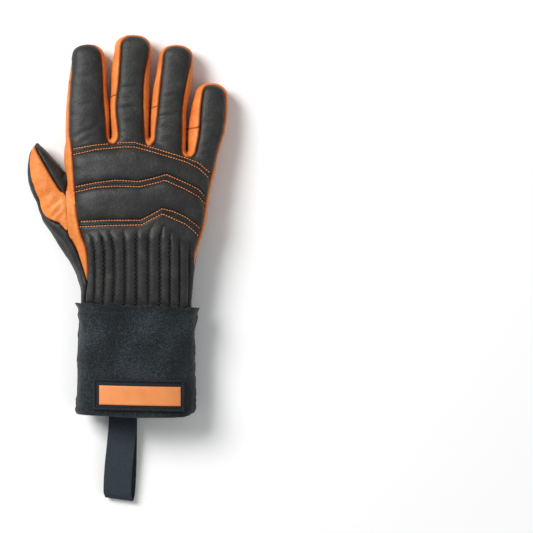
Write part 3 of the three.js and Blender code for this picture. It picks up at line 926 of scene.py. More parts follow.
@dataclass(frozen=True)
class WovenTape:
    """Polyester tape, woven.

    The yarns run along it in ribs and the weft beats across them, which gives the eye a fine chequer of light
    yarn and dark valleys, softened by fuzz; the valleys' dark is painted shade.
    """

    name: str
    valley_shade: str
    yarn: str
    rib: float
    weft: float

    def material(self) -> Material:
        """Makes the material.

        Returns:
            The material, which reads each point's place across and along the tape from the mesh, in mm.
        """
        made = Surface(self.name, Roughness=0.85, Specular_IOR_Level=0.25)
        tree, place = made.tree, made.place()
        weave = add(tree, "Attribute", attribute_name="weave").outputs["Vector"]
        parts = add(tree, "SeparateXYZ", links={"Vector": weave})
        beats = []
        for axis, pitch in (("X", self.rib), ("Y", self.weft)):
            turn = add(tree, "Math", {1: 2 * math.pi / pitch}, {0: parts.outputs[axis]},
                       operation="MULTIPLY")
            beats.append(add(tree, "Math", links={0: turn.outputs[0]}, operation="SINE").outputs[0])
        crossed = add(tree, "Math", links={0: beats[0], 1: beats[1]}, operation="MULTIPLY")
        raised = add(tree, "Math", {1: 0.5, 2: 0.5}, {0: crossed.outputs[0]}, operation="MULTIPLY_ADD")
        # Filaments of 0.02 mm don't show, so the fuzz is drawn at 1.8 mm
        fuzz = add(tree, "TexNoise", {"Scale": per_metre(1.8), "Detail": 5.0, "Roughness": 0.7}, place)
        both = add(tree, "Mix", {"Factor": 0.5}, {"A": raised.outputs[0], "B": fuzz.outputs["Fac"]})
        # The first stop is the painted shade of the weave's valleys
        tone = add(tree, "ValToRGB", links={"Fac": both.outputs["Result"]},
                   stops=((0.2, self.valley_shade), (0.75, self.yarn)))
        bump = add(tree, "Bump", {"Strength": 0.6, "Distance": 0.3 * MM},
                   {"Height": both.outputs["Result"]})
        return made.dressed(tone.outputs["Color"], bump)


@dataclass(frozen=True)
class SpunThread:
    """Polyester sewing thread, spun and waxed.

    The wax lays the fibres down, which gives the eye a soft satin line with uneven colour along it.
    """

    name: str
    shade: str
    body: str

    def material(self) -> Material:
        """Makes the material.

        Returns:
            The material.
        """
        made = Surface(self.name, Roughness=0.6, Specular_IOR_Level=0.35)
        tree, place = made.tree, made.place()
        # The twist of 0.4 mm is too fine to show, so its unevenness is drawn at 1.2 mm
        uneven = add(tree, "TexNoise", {"Scale": per_metre(1.2), "Detail": 3.0}, place)
        tone = add(tree, "ValToRGB", links={"Fac": uneven.outputs["Fac"]},
                   stops=((0.35, self.shade), (0.6, self.body)))
        bump = add(tree, "Bump", {"Strength": 0.3, "Distance": 0.15 * MM},
                   {"Height": uneven.outputs["Fac"]})
        return made.dressed(tone.outputs["Color"], bump)


@dataclass(frozen=True)
class MouldedPatch:
    """Soft PVC, moulded.

    The blasted mould leaves a fine matt texture, which gives the eye an even colour with a dull broad shine.
    """

    name: str
    shade: str
    body: str

    def material(self) -> Material:
        """Makes the material.

        Returns:
            The material.
        """
        made = Surface(self.name, Roughness=0.5)
        tree, place = made.tree, made.place()
        # The pigment drifts over about 9 mm; the mould's grit of 0.1 mm is drawn at 0.9 mm so that it shows
        cloud = add(tree, "TexNoise", {"Scale": per_metre(9), "Detail": 3.0}, place)
        tone = add(tree, "ValToRGB", links={"Fac": cloud.outputs["Fac"]},
                   stops=((0.3, self.shade), (0.7, self.body)))
        matt = add(tree, "TexNoise", {"Scale": per_metre(0.9), "Detail": 2.0}, place)
        bump = add(tree, "Bump", {"Strength": 0.2, "Distance": 0.1 * MM}, {"Height": matt.outputs["Fac"]})
        return made.dressed(tone.outputs["Color"], bump)


class Finish(Enum):
    """The glove's finishes.

    Milled grain is about 0.7 mm and tape has a yarn every 0.6 mm; both are drawn twice as coarse to show.
    """

    # Each leather's last colour is its painted shade, for seams, stitched rows, rib valleys and joins
    BLACK = GrainLeather(
        "goatskin_milled_black", "#1b1c1b", "#262725", "#393a37", "#060606",
        grain=1.2, roughness=0.5, bump=0.65,
    )
    ORANGE = GrainLeather(
        "goatskin_milled_orange", "#cc6b2d", "#d87b37", "#e38e46", "#84300e",
        grain=1.6, roughness=0.48, bump=0.3,
    )
    SUEDE = SplitSuede("split_cowhide_buffed_blue_black", "#090c0e", "#191e22", "#3b4448")
    # Each tape's first colour is the painted shade of its weave's valleys
    WEBBING = WovenTape("polyester_tape_woven_blue_black", "#171b1f", "#3a444c", rib=1.5, weft=1.5)
    PATCH = WovenTape("polyester_twill_woven_black", "#0f1113", "#24292e", rib=1.2, weft=1.2)
    PLATE = MouldedPatch("pvc_moulded_orange", "#de8446", "#e48f50")
    ORANGE_THREAD = SpunThread("polyester_thread_spun_orange", "#c86f35", "#eb9a5e")
    BLACK_THREAD = SpunThread("polyester_thread_spun_black", "#191a1a", "#3e403f")
    NAVY_THREAD = SpunThread("polyester_thread_spun_blue_black", "#0d1114", "#252d33")
    RED_THREAD = SpunThread("polyester_thread_spun_dark_red", "#3a0f08", "#6a2012")


@functools.cache
def material_of(finish: Finish) -> Material:
    """The material of a finish, made once."""
    return finish.value.material()


class Slot(Enum):
    """The record's material slots."""

    BLACK = "black_leather"
    ORANGE = "orange_leather"
    SUEDE = "suede"
    PATCH = "label_patch"
    PLATE = "label_plate"
    WEBBING = "webbing"


def make_piece(
    name: str, points: Array, faces: Array | list, finish: Finish, slot: Slot,
    attributes: dict[str, Array] | None = None,
) -> bpy.types.Object:
    """Makes a piece of the glove.

    Args:
        name: the piece's name.
        points: its points, drawing mm.
        faces: the points of each face.
        finish: its finish.
        slot: the record's slot for its finish; not used.
        attributes: values for its points, a number or three numbers each.

    Returns:
        The object, riding on the glove's body.
    """
    mesh = bpy.data.meshes.new(name)
    listed = faces.tolist() if isinstance(faces, np.ndarray) else faces
    mesh.from_pydata(to_frame(points).tolist(), [], listed)
    mesh.polygons.foreach_set("use_smooth", np.ones(len(mesh.polygons), bool))
    for key, values in (attributes or {}).items():
        kind = "FLOAT" if values.ndim == 1 else "FLOAT_VECTOR"
        stored = mesh.attributes.new(key, kind, "POINT")
        stored.data.foreach_set("value" if values.ndim == 1 else "vector", values.astype(np.float32).ravel())
    mesh.materials.append(material_of(finish))
    mesh.update()
    made = bpy.data.objects.new(name, mesh)
    bpy.context.scene.collection.objects.link(made)
    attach(made, BODY)
    log.info("%s: %d faces", name, len(mesh.polygons))
    return made


# Stitching


@dataclass(frozen=True)
class Thread:
    """How one kind of stitch looks, in mm."""

    length: float
    width: float
    height: float
    pitch: float


TOPSTITCH = Thread(1.75, 0.85, 0.7, 2.15)
PALM_STITCH = Thread(1.6, 0.75, 0.5, 2.2)
VALLEY_STITCH = Thread(1.3, 0.75, 0.5, 1.7)
JOIN_STITCH = Thread(1.6, 0.55, 0.4, 1.5)
HEM_STITCH = Thread(1.9, 0.7, 0.45, 2.6)
SATIN_STITCH = Thread(2.2, 0.7, 0.5, 1.1)

Mesh = tuple[Array, list[list[int]]]  # points and the points of each face
Spot = tuple[Array, Array]  # a place on the leather and the outward direction there


@dataclass
class Seamstress:
    """Lays stitches on the finished leather; each is a small bead of rings, bowed up in its middle.

    A ring has its place along half the stitch and its share of the thread's thickness.
    """

    rings: Line = ((-1.0, 0.25), (-0.78, 0.72), (0.0, 1.0), (0.78, 0.72), (1.0, 0.25))
    around: int = 6
    bow: float = 0.22
    over: float = 90.0
    under: float = -20.0
    tree: BVHTree | None = None

    def lay_out(self, skins: list[tuple[Array, Array]]) -> None:
        """Takes the surfaces that stitches lie on.

        Args:
            skins: points and triangles of each surface, drawing mm.
        """
        points = np.concatenate([p for p, _ in skins])
        starts = np.cumsum([0] + [len(p) for p, _ in skins[:-1]])
        triangles = np.concatenate([t + s for (_, t), s in zip(skins, starts)])
        self.tree = BVHTree.FromPolygons(points.tolist(), triangles.tolist())

    def hit(self, start: Array, direction: tuple[float, float, float]) -> Spot | None:
        """The spot where a ray first meets the leather."""
        place, normal, _, _ = self.tree.ray_cast(Vector(start), Vector(direction))
        return None if place is None else (np.array(place), np.array(normal))

    def drop(self, path: Array, below: bool = False) -> list[Spot]:
        """Finds the leather along a path seen from above.

        Args:
            path: the path's points, X and Y.
            below: whether the palm's side is meant, and not the back's.

        Returns:
            The spots that there are.
        """
        z, way = (self.under, 1.0) if below else (self.over, -1.0)
        found = [self.hit(np.array([x, y, z]), (0.0, 0.0, way)) for x, y in path]
        return [spot for spot in found if spot is not None]

    def stitch(self, thread: Thread, spots: list[Spot], across: bool = False) -> Mesh:
        """One stitch at each spot, along the row or across it.

        Args:
            thread: the kind of stitch.
            spots: where they are, in order along the row.
            across: whether the stitches lie across the row.

        Returns:
            The row's points and faces.
        """
        reach, share = np.array(self.rings).T[:, :, None, None]
        turn = np.linspace(0, 2 * math.pi, self.around, endpoint=False)[:, None]
        wide = np.cos(turn) * share * thread.width / 2
        tall = np.sin(turn) * share * thread.height / 2 + (1 - reach * reach) * self.bow * thread.height
        points, faces = [], []
        for (place, normal), way in zip(spots, np.gradient(np.array([place for place, _ in spots]), axis=0)):
            way = unit(way - normal * (way @ normal))
            side = np.cross(normal, way)
            if across:
                way, side = side, way
            bead = place + way * reach * thread.length / 2 + side * wide + normal * tall
            faces += tube_faces(len(self.rings), self.around, len(self.rings) * self.around * len(points))
            points.append(bead.reshape(-1, 3))
        return off_floor(np.concatenate(points)), faces


def gathered(meshes: list[Mesh]) -> Mesh:
    """Puts several meshes together.

    Args:
        meshes: the points and faces of each.

    Returns:
        All of them as one.
    """
    points, faces, start = [], [], 0
    for some, shapes in meshes:
        points.append(some)
        faces += [[i + start for i in shape] for shape in shapes]
        start += len(some)
    return np.concatenate(points), faces


# The leather hand


@dataclass(frozen=True)
class Join:
    """Where two orange strips meet: at which finger, on its left (-1) or its right (1), and at which Y."""

    finger: str
    side: int
    y: float


JOINS = {
    "index": Join("index", -1, 258.5),
    "middle": Join("middle", -1, 247.5),
    "ring": Join("ring", -1, 238.5),
    "little": Join("little", -1, 222.0),
    "side": Join("little", 1, 220.5),
}
WRIST_LEAN = {"index": 0.25, "little": -0.25}  # how far a finger's middle runs inwards for each mm
LEAN_FROM = 175.0  # the Y from which it does, towards the wrist


@dataclass
class Seams:
    """Where the leather hand is cut, as signed distances that are negative inside a piece."""

    knuckle: Crossing = Crossing((
        (-60, 202), (-46, 205), (-25, 209), (-5, 210), (20, 205), (40, 198), (52, 191.5), (75, 179),
    ))
    pads: Crossing = Crossing((
        (-60, 173), (-46, 176), (-15, 180), (5, 179.5), (24, 185), (40, 178), (56, 165), (75, 150),
    ))
    ribs: Crossing = Crossing((
        (-60, 148.5), (-20, 149.5), (5, 150), (22, 158.5), (36, 153), (45, 147.5), (52.5, 141), (75, 121),
    ))
    patch_top: Crossing = Crossing((
        (-60, 197), (-42, 201.5), (-20, 204), (0, 204), (20, 201), (38, 196.5), (59, 191), (75, 187),
    ))
    patch_foot: Crossing = Crossing(((-30, 119.5), (-5, 119.5), (18, 118.5), (46, 114), (75, 109)))
    back_crotches: Line = ((-17.3, 212.0), (12.2, 210.0), (42.3, 201.0))
    palm_crotches: Line = ((-19.7, 206.5), (11.0, 206.0), (40.3, 199.0))
    crotch_radius: float = 6.0
    thumb_seam: Line = (
        (-79.6, 214), (-68, 197), (-53, 170), (-39, 148), (-25, 132), (-16.5, 118), (-13.5, 103),
    )
    palm_groove: Line = (
        (-54, 187), (-43, 180), (-33, 172), (-23, 168), (-13.5, 160), (-9, 150), (-7.5, 136), (-8, 124),
        (-10.5, 112), (-13.5, 103),
    )
    strip_edge: Line = (
        (-56, 196), (-53.4, 186), (-53.4, 172), (-52.4, 158), (-51, 141), (-45, 128), (-37, 103),
    )
    gusset_edge: Line = ((-45, 160), (-54.4, 172), (-60, 178.5), (-70, 195), (-78.5, 210.5), (-80.5, 216))
    thumb_edge: Line = (
        (-79.4, 212.5), (-80.4, 207), (-81.8, 202), (-82.3, 196), (-82.0, 190), (-80.4, 182), (-78, 175),
        (-75.4, 168.5), (-72.2, 158), (-67, 152.4), (-58, 148.8), (-53, 144), (-49, 140), (-45, 136),
    )
    thumb_level: float = 13.0
    wrist_rise: float = 10.0
    strip_slope: float = 0.27
    strip_end: float = 107.0

    def __post_init__(self) -> None:
        """Draws the outlines of the back, the palm and the thumb's pieces."""
        fingers, wrist = list(FINGERS.values()), [(60, 111), (90, 100), (90, 60)]
        back = [(-38.8, 60), *self.hand_edge(5, 71, 214)]
        back += self.finger_edges(5, 6, self.back_crotches, [finger.back_tip for finger in fingers])
        self.back_outline = Outline([*back, *reversed(self.hand_edge(6, 118, 202)), *wrist])
        palm = [(-12, 60), (-12.5, 90), *reversed(self.palm_groove), (-51, 188)]
        palm += self.finger_edges(7, 8, self.palm_crotches, [finger.front_tip for finger in fingers])
        self.palm_outline = Outline([*palm, *reversed(self.hand_edge(7, 118, 196)), *wrist])
        strip, gusset, seam, edge = (
            rounded_path(line, 6).tolist()
            for line in (self.strip_edge, self.gusset_edge, self.thumb_seam, self.thumb_edge)
        )
        far = OUTSIDE
        start = [(-far, 50), (-far, 226), (-56, 226)]
        self.thumb_upper = Outline([*start, *strip, (-30, 99), (-30, 50)])
        self.thumb_lower = Outline([*start, (-56, 188), (0, 188), (0, 50)])
        self.gusset_upper = Outline([*gusset, (-80, 240), (far, 240), (far, 160)])
        self.gusset_lower = Outline([(far, 240), (-80, 240), *seam, (far, 103)])
        self.thumb_outline = Outline([*gusset, *edge])

    def hand_edge(self, column: int, low: float, high: float) -> list[Point]:
        """Points up one edge of the hand's back or palm leather."""
        ys = np.arange(low, high, 4.0)
        return list(zip(HAND.at(column, ys).tolist(), ys.tolist()))

    def finger_edges(self, left: int, right: int, crotches: Line, tips: list[float]) -> list[Point]:
        """The edge of the leather round all four fingers, from the index's outer side to the little one's.

        Args:
            left: the fingers' column with their left edge.
            right: the fingers' column with their right edge.
            crotches: the lowest point of the orange between two fingers.
            tips: where each finger's leather ends.

        Returns:
            The points in order.
        """
        fingers, radius = list(FINGERS.values()), self.crotch_radius
        starts = [216.0, *[y + radius for _, y in crotches]]
        ends = [*[y + radius for _, y in crotches], 204.0]
        dome = 1 - np.sin(np.linspace(0, 1, 16) * math.pi / 2)
        points: list[Point] = []
        for i, (finger, tip) in enumerate(zip(fingers, tips)):
            up = np.concatenate([np.arange(starts[i], tip - DOME_LENGTH, 3.0), tip - DOME_LENGTH * dome])
            down = np.concatenate([up[::-1][:15], np.arange(tip - DOME_LENGTH, ends[i], -3.0)])
            for column, ys in ((left, up), (right, down)):
                edge = finger.table.at(column, ys) - finger.middle(ys)
                xs = finger.middle(ys) + edge * np.maximum(dome_share(ys, tip), 0.02)
                points += list(zip(xs.tolist(), ys.tolist()))
            if i < len(crotches):
                foot = crotches[i][1]
                here = float(finger.table.at(right, np.array(foot + radius)))
                there = float(fingers[i + 1].table.at(left, np.array(foot + radius)))
                for turn in np.linspace(0, math.pi, 14)[1:-1]:
                    share = (1 - math.cos(turn)) / 2
                    points.append((here + (there - here) * share, foot + radius * (1 - math.sin(turn))))
        return points

    def level(self, at: Places) -> Array:
        """The height that parts the back from the palm: higher at the wrist on the little finger's side."""
        return SEAM_LEVEL + self.wrist_rise * step_up(-at[1], -174, -130) * step_up(at[0], 0, 20)

    def taper(self, at: Places) -> Array:
        """Half the height of the orange strip by the little finger, which ends in a point at the wrist."""
        return self.strip_slope * (at[1] - self.strip_end) + OUTSIDE * (at[0] < 20)

    def black(self, outline: Outline, way: int, at: Places) -> Array:
        """The black leather in an outline, on the back where way is 1 and on the palm where it is -1."""
        rise = way * (at[2] - self.level(at))
        return overlap(np.minimum(outline.distance(at), self.taper(at) - rise), -rise)

    def stacked(self, upper: Outline, lower: Outline, at: Places) -> Array:
        """One outline above the seam level and another below it."""
        above = overlap(upper.distance(at), SEAM_LEVEL - at[2])
        return np.minimum(above, overlap(lower.distance(at), at[2] - SEAM_LEVEL))

    def middle(self, name: str, y: Array) -> Array:
        """X of a finger's middle, which runs inwards on the hand's narrower wrist."""
        return FINGERS[name].middle(y) + WRIST_LEAN.get(name, 0) * np.maximum(LEAN_FROM - y, 0)

    def gap(self, name: str, following: str, y: Array) -> Array:
        """X of the middle between two fingers."""
        between = (FINGERS[name].table.at(2, y) + FINGERS[following].table.at(1, y)) / 2
        return between + WRIST_LEAN.get(following, 0) * np.maximum(LEAN_FROM - y, 0)

    def join_rise(self, z: Array) -> Array:
        """How far a join leans towards the fingertips at a height; less on the back."""
        above = z - SEAM_LEVEL
        return np.where(above > 0, 0.15, 0.45) * above

    def join_distance(self, at: Places) -> Array:
        """How far each point is from the nearest join of two orange strips.

        Args:
            at: where the points are.

        Returns:
            The distances, large where there is no join on that side of the finger.
        """
        x, y, z = at
        nearest = np.full(x.shape, OUTSIDE)
        for join in JOINS.values():
            reach = x - self.middle(join.finger, y)
            own = (np.abs(reach) < 17) & (reach * join.side > 0)
            nearest = np.where(own, np.minimum(nearest, np.abs(y - join.y - self.join_rise(z))), nearest)
        return nearest

    def strips(self, at: Places) -> dict[str, Array]:
        """The shares of the orange strips, each from one join to the next.

        Args:
            at: where the points are.

        Returns:
            The signed distances by piece name.
        """
        x, y, z = at
        rise = self.join_rise(z)
        over = {name: y - join.y - rise for name, join in JOINS.items()}
        beside = {name: x - self.middle(name, y) for name in FINGERS}
        names = list(FINGERS)
        found = {"side_strip_index": overlap(beside["index"], over["index"])}
        past = OUTSIDE + 0 * x
        for name, following in zip(names, names[1:]):
            gap = x - self.gap(name, following, y)
            own = overlap(-past, gap, -overlap(beside[name], over[name]))
            beyond = overlap(-gap, beside[following], over[following])
            found[f"fourchette_{name}"] = np.minimum(own, beyond)
            past = gap
        little = beside["little"]
        left = overlap(-past, little, -over["little"])
        found["fourchette_little"] = np.minimum(left, overlap(-little, -over["side"]))
        found["side_strip_little"] = overlap(-little, over["side"])
        return found

    def pieces(self, at: Places) -> dict[str, Array]:
        """Every piece's signed distance at each point.

        Args:
            at: where the points of the leather are.

        Returns:
            The distances by piece name.
        """
        hem = LEATHER_END - at[1]
        back = self.black(self.back_outline, 1, at)
        palm = self.black(self.palm_outline, -1, at)
        thumb = self.stacked(self.thumb_upper, self.thumb_lower, at)
        side = overlap(-back, -palm)
        lines = (self.knuckle, self.pads, self.ribs, self.patch_top, self.patch_foot)
        knuckle, pads, ribs, top, foot = (line.side(at) for line in lines)
        lobe = overlap(side, thumb, hem)
        orange = overlap(self.thumb_outline.distance(at), self.thumb_level - at[2])
        gusset = self.stacked(self.gusset_upper, self.gusset_lower, at)
        found = {
            "finger_backs": overlap(back, -knuckle),
            "knuckle_pad": overlap(back, knuckle, -pads),
            "hand_pad": overlap(back, pads, -ribs),
            "ribbed_wrist": overlap(back, ribs, hem),
            "finger_fronts": overlap(palm, -top),
            "palm_patch": overlap(palm, top, -foot),
            "palm_heel": overlap(palm, foot, hem),
            "thumb_back": overlap(lobe, orange),
            "thumb_gusset": overlap(lobe, gusset, -orange),
            "thumb_outer": overlap(lobe, -gusset, -orange),
        }
        for name, share in self.strips(at).items():
            found[name] = overlap(side, -thumb, share)
        return found


# The stitched rows on the back: upper and lower row of each pair
BACK_ROWS = crossings(
    ((-48, 207), (-30, 210), (-8, 212), (0, 212), (20, 206), (40, 200), (50, 196), (57, 190), (62, 184.5)),
    ((-48, 202.5), (-30, 206.5), (-8, 208.5), (0, 208.5), (20, 203), (40, 197), (50, 192), (60, 182.5)),
    ((-46, 177.5), (-30, 180.5), (-14, 182.5), (4, 181.5), (15, 184), (25, 187), (40, 180.5), (50, 175.5),
     (58, 166)),
    ((-46, 173.5), (-30, 177), (-14, 178), (5, 177.5), (15, 180), (24, 182.5), (40, 175.5), (50, 170),
     (57, 161.5)),
    ((-44, 150.5), (-20, 151.5), (5, 151.5), (13, 155.5), (22, 160.5), (30, 158.5), (40, 154), (48, 148),
     (54.5, 141.5)),
    ((-43, 146.5), (-20, 147.5), (6, 148), (13, 152), (22, 156.5), (40, 148.5), (46, 143.5), (52, 137)),
)
# The stitched rows on the palm, in the same pairs, and the rows along the patch's foot
PALM_ROWS = crossings(
    ((-50, 200.5), (-40, 203.2), (-20, 206), (0, 205.6), (20, 203.2), (38, 199), (62, 192.5)),
    ((-50, 196.5), (-40, 199.2), (-20, 202), (0, 201.6), (20, 199.2), (38, 195), (60, 189)),
    ((-47, 187), (-30, 190), (-15, 187), (0, 181), (20, 166), (40, 153), (52, 147)),
    ((-47, 183), (-30, 186), (-15, 183), (0, 177), (20, 162), (40, 149), (51, 143.5)),
    ((-7, 124.5), (18, 123), (46, 118.4)),
    ((-7, 121.8), (18, 120.4), (46, 115.8)),
)
# Valleys between the wrist's ribs: X of each at these Y, from the cuff to the ribs' tops
RIB_LEVELS = (86, 108, 128, 138, 143.5, 150)
RIB_VALLEYS = (
    (-30.8, -30.2, -30.6, -32.4, -38.5, -44.0), (-24.0, -23.0, -23.0, -24.6, -27.6, -33.0),
    (-16.4, -15.2, -15.4, -17.2, -19.4, -22.0), (-7.2, -6.8, -7.0, -7.6, -8.1, -8.4),
    (1.9, 1.9, 1.9, 1.9, 2.8, 4.0), (11.1, 11.1, 11.1, 11.1, 12.2, 15.6),
    (20.2, 20.2, 20.2, 20.2, 21.4, 23.8), (27.6, 27.6, 27.8, 28.0, 28.8, 30.5),
    (35.0, 35.0, 35.0, 35.0, 35.8, 37.0), (41.4, 42.0, 42.3, 43.7, 47.0, 51.0),
)
RIB_TOPS = Crossing(((-42, 141.5), (-34, 143.5), (-20, 145.5), (-8, 146), (3, 146.3), (9, 148), (14, 150.5),
                     (19, 152.5), (24, 151.5), (28, 146.5), (33, 143), (39, 139.5), (50, 134)))
WRINKLES = wrinkles(
    (-15, 254, 6, 256.5, 1.6, 0.5), (-12, 247, 7, 244.5, 1.5, 0.35), (-14, 238, 8, 241.5, 1.8, 0.6),
    (-10, 229, 8, 226, 1.8, 0.55), (-12, 221, 5, 215, 1.6, 0.45), (18, 247, 38, 250, 1.6, 0.35),
    (18, 232, 37, 234.5, 1.7, 0.55), (17, 224, 36, 222, 1.6, 0.5), (20, 216, 34, 212, 1.6, 0.4),
    (-48, 262, -30, 265, 2.2, 0.3), (-49, 240, -27, 243, 2.2, 0.35), (-49, 214, -33, 224, 1.9, 0.35),
    (-44, 211, -28, 220, 1.7, 0.3), (-38, 213, -24, 219, 1.5, 0.25), (-36, 219, -26, 229, 1.6, 0.35),
    (50, 226, 68, 229, 1.8, 0.35), (48, 208, 64, 212, 1.8, 0.35), (-30, 196, -10, 190, 5.0, 0.35),
    (10, 172, 40, 164, 6.0, 0.3),
)
THUMB_WRINKLES = wrinkles(
    (-72, 157, -54, 171, 2.0, 0.8), (-66, 152, -53.5, 166, 1.6, 0.6), (-60, 150, -52.8, 160, 1.6, 0.5),
    (-77, 166, -62, 176, 2.4, 0.6), (-81, 178, -72, 180, 2.2, 0.45), (-53, 172, -51.5, 143, 1.3, 0.5),
    (-70, 148, -52, 130, 2.0, 0.6), (-60, 137, -46, 118, 2.0, 0.6), (-52, 122, -41, 106, 1.8, 0.6),
    (-47, 112, -40, 96, 1.8, 0.6), (-43, 103, -42, 88, 1.6, 0.5),
)
PALM_WRINKLES = wrinkles(
    (1, 114, -4, 94, 1.4, 0.6), (5, 117, 5, 84, 2.2, 0.9), (14, 108, 8, 88, 1.3, 0.7),
    (18, 116, 18, 82, 2.0, 1.0), (28, 111, 22, 92, 1.6, 0.5), (32, 106, 34, 84, 2.4, 0.6),
    (9, 119, 24, 114, 1.8, 0.5), (-26, 100, -22, 86, 1.8, 0.7), (-36, 104, -30, 88, 1.8, 0.7),
    (22, 186, 2, 150, 4.5, 0.8), (32, 185, 10, 142, 4.5, 0.7), (6, 225, 14, 208, 3.0, 0.5),
    (-60, 160, -38, 128, 4.0, 0.5),
)


@dataclass(frozen=True)
class Panel:
    """One piece of leather of the hand.

    Its cut is the size of the flat leather it was cut from, in mm, and the share of it that it fills.
    """

    name: str
    finish: Finish = Finish.BLACK
    cut: tuple[float, float, float] | None = None
    fill: float = 0.0
    refine: int = 0
    nodes: tuple[str, ...] = ()
    thickness: float = 1.8

    @property
    def slot(self) -> Slot:
        """The record's slot for its finish."""
        return Slot.ORANGE if self.finish is Finish.ORANGE else Slot.BLACK

    @property
    def on_back(self) -> bool:
        """Whether it belongs to the black leather of the back."""
        return self.fill > 0 or self.name == "finger_backs"


def all_fingers(prefix: str) -> tuple[str, ...]:
    """The CAD nodes of one kind on all four fingers."""
    return tuple(f"{prefix}_{name}" for name in FINGERS)


PANELS = (
    Panel("finger_backs", cut=(115, 100, 0.68), nodes=all_fingers("finger_back")),
    Panel("knuckle_pad", fill=0.5, refine=1),
    Panel("hand_pad", fill=0.5, refine=1),
    Panel("ribbed_wrist", fill=0.7, refine=1),
    Panel("finger_fronts", cut=(115, 95, 0.63), nodes=all_fingers("finger_front")),
    Panel("palm_patch", cut=(105, 85, 0.73)),
    Panel("palm_heel", cut=(65, 50, 0.93)),
    Panel("thumb_back", Finish.ORANGE, (40, 70, 0.42)),
    Panel("thumb_gusset", cut=(45, 125, 0.48)),
    Panel("thumb_outer", cut=(75, 145, 0.65)),
    Panel("side_strip_index", Finish.ORANGE, (20, 155, 0.68)),
    Panel("side_strip_little", Finish.ORANGE, (25, 105, 0.72)),
    Panel("fourchette_index", Finish.ORANGE, (25, 135, 0.92)),
    Panel("fourchette_middle", Finish.ORANGE, (26, 165, 0.91)),
    Panel("fourchette_ring", Finish.ORANGE, (28, 155, 0.92)),
    Panel("fourchette_little", Finish.ORANGE, (25, 90, 0.89)),
)


def valley_x(index: int, y: Array) -> Array:
    """X of a valley between two ribs at Y."""
    return np.interp(y, RIB_LEVELS, RIB_VALLEYS[index])


def fullness(distance: Array, run: float) -> Array:
    """How full a pad is at a distance from its edge, from 0 at the edge towards 1."""
    return 1 - np.exp(-distance / run)


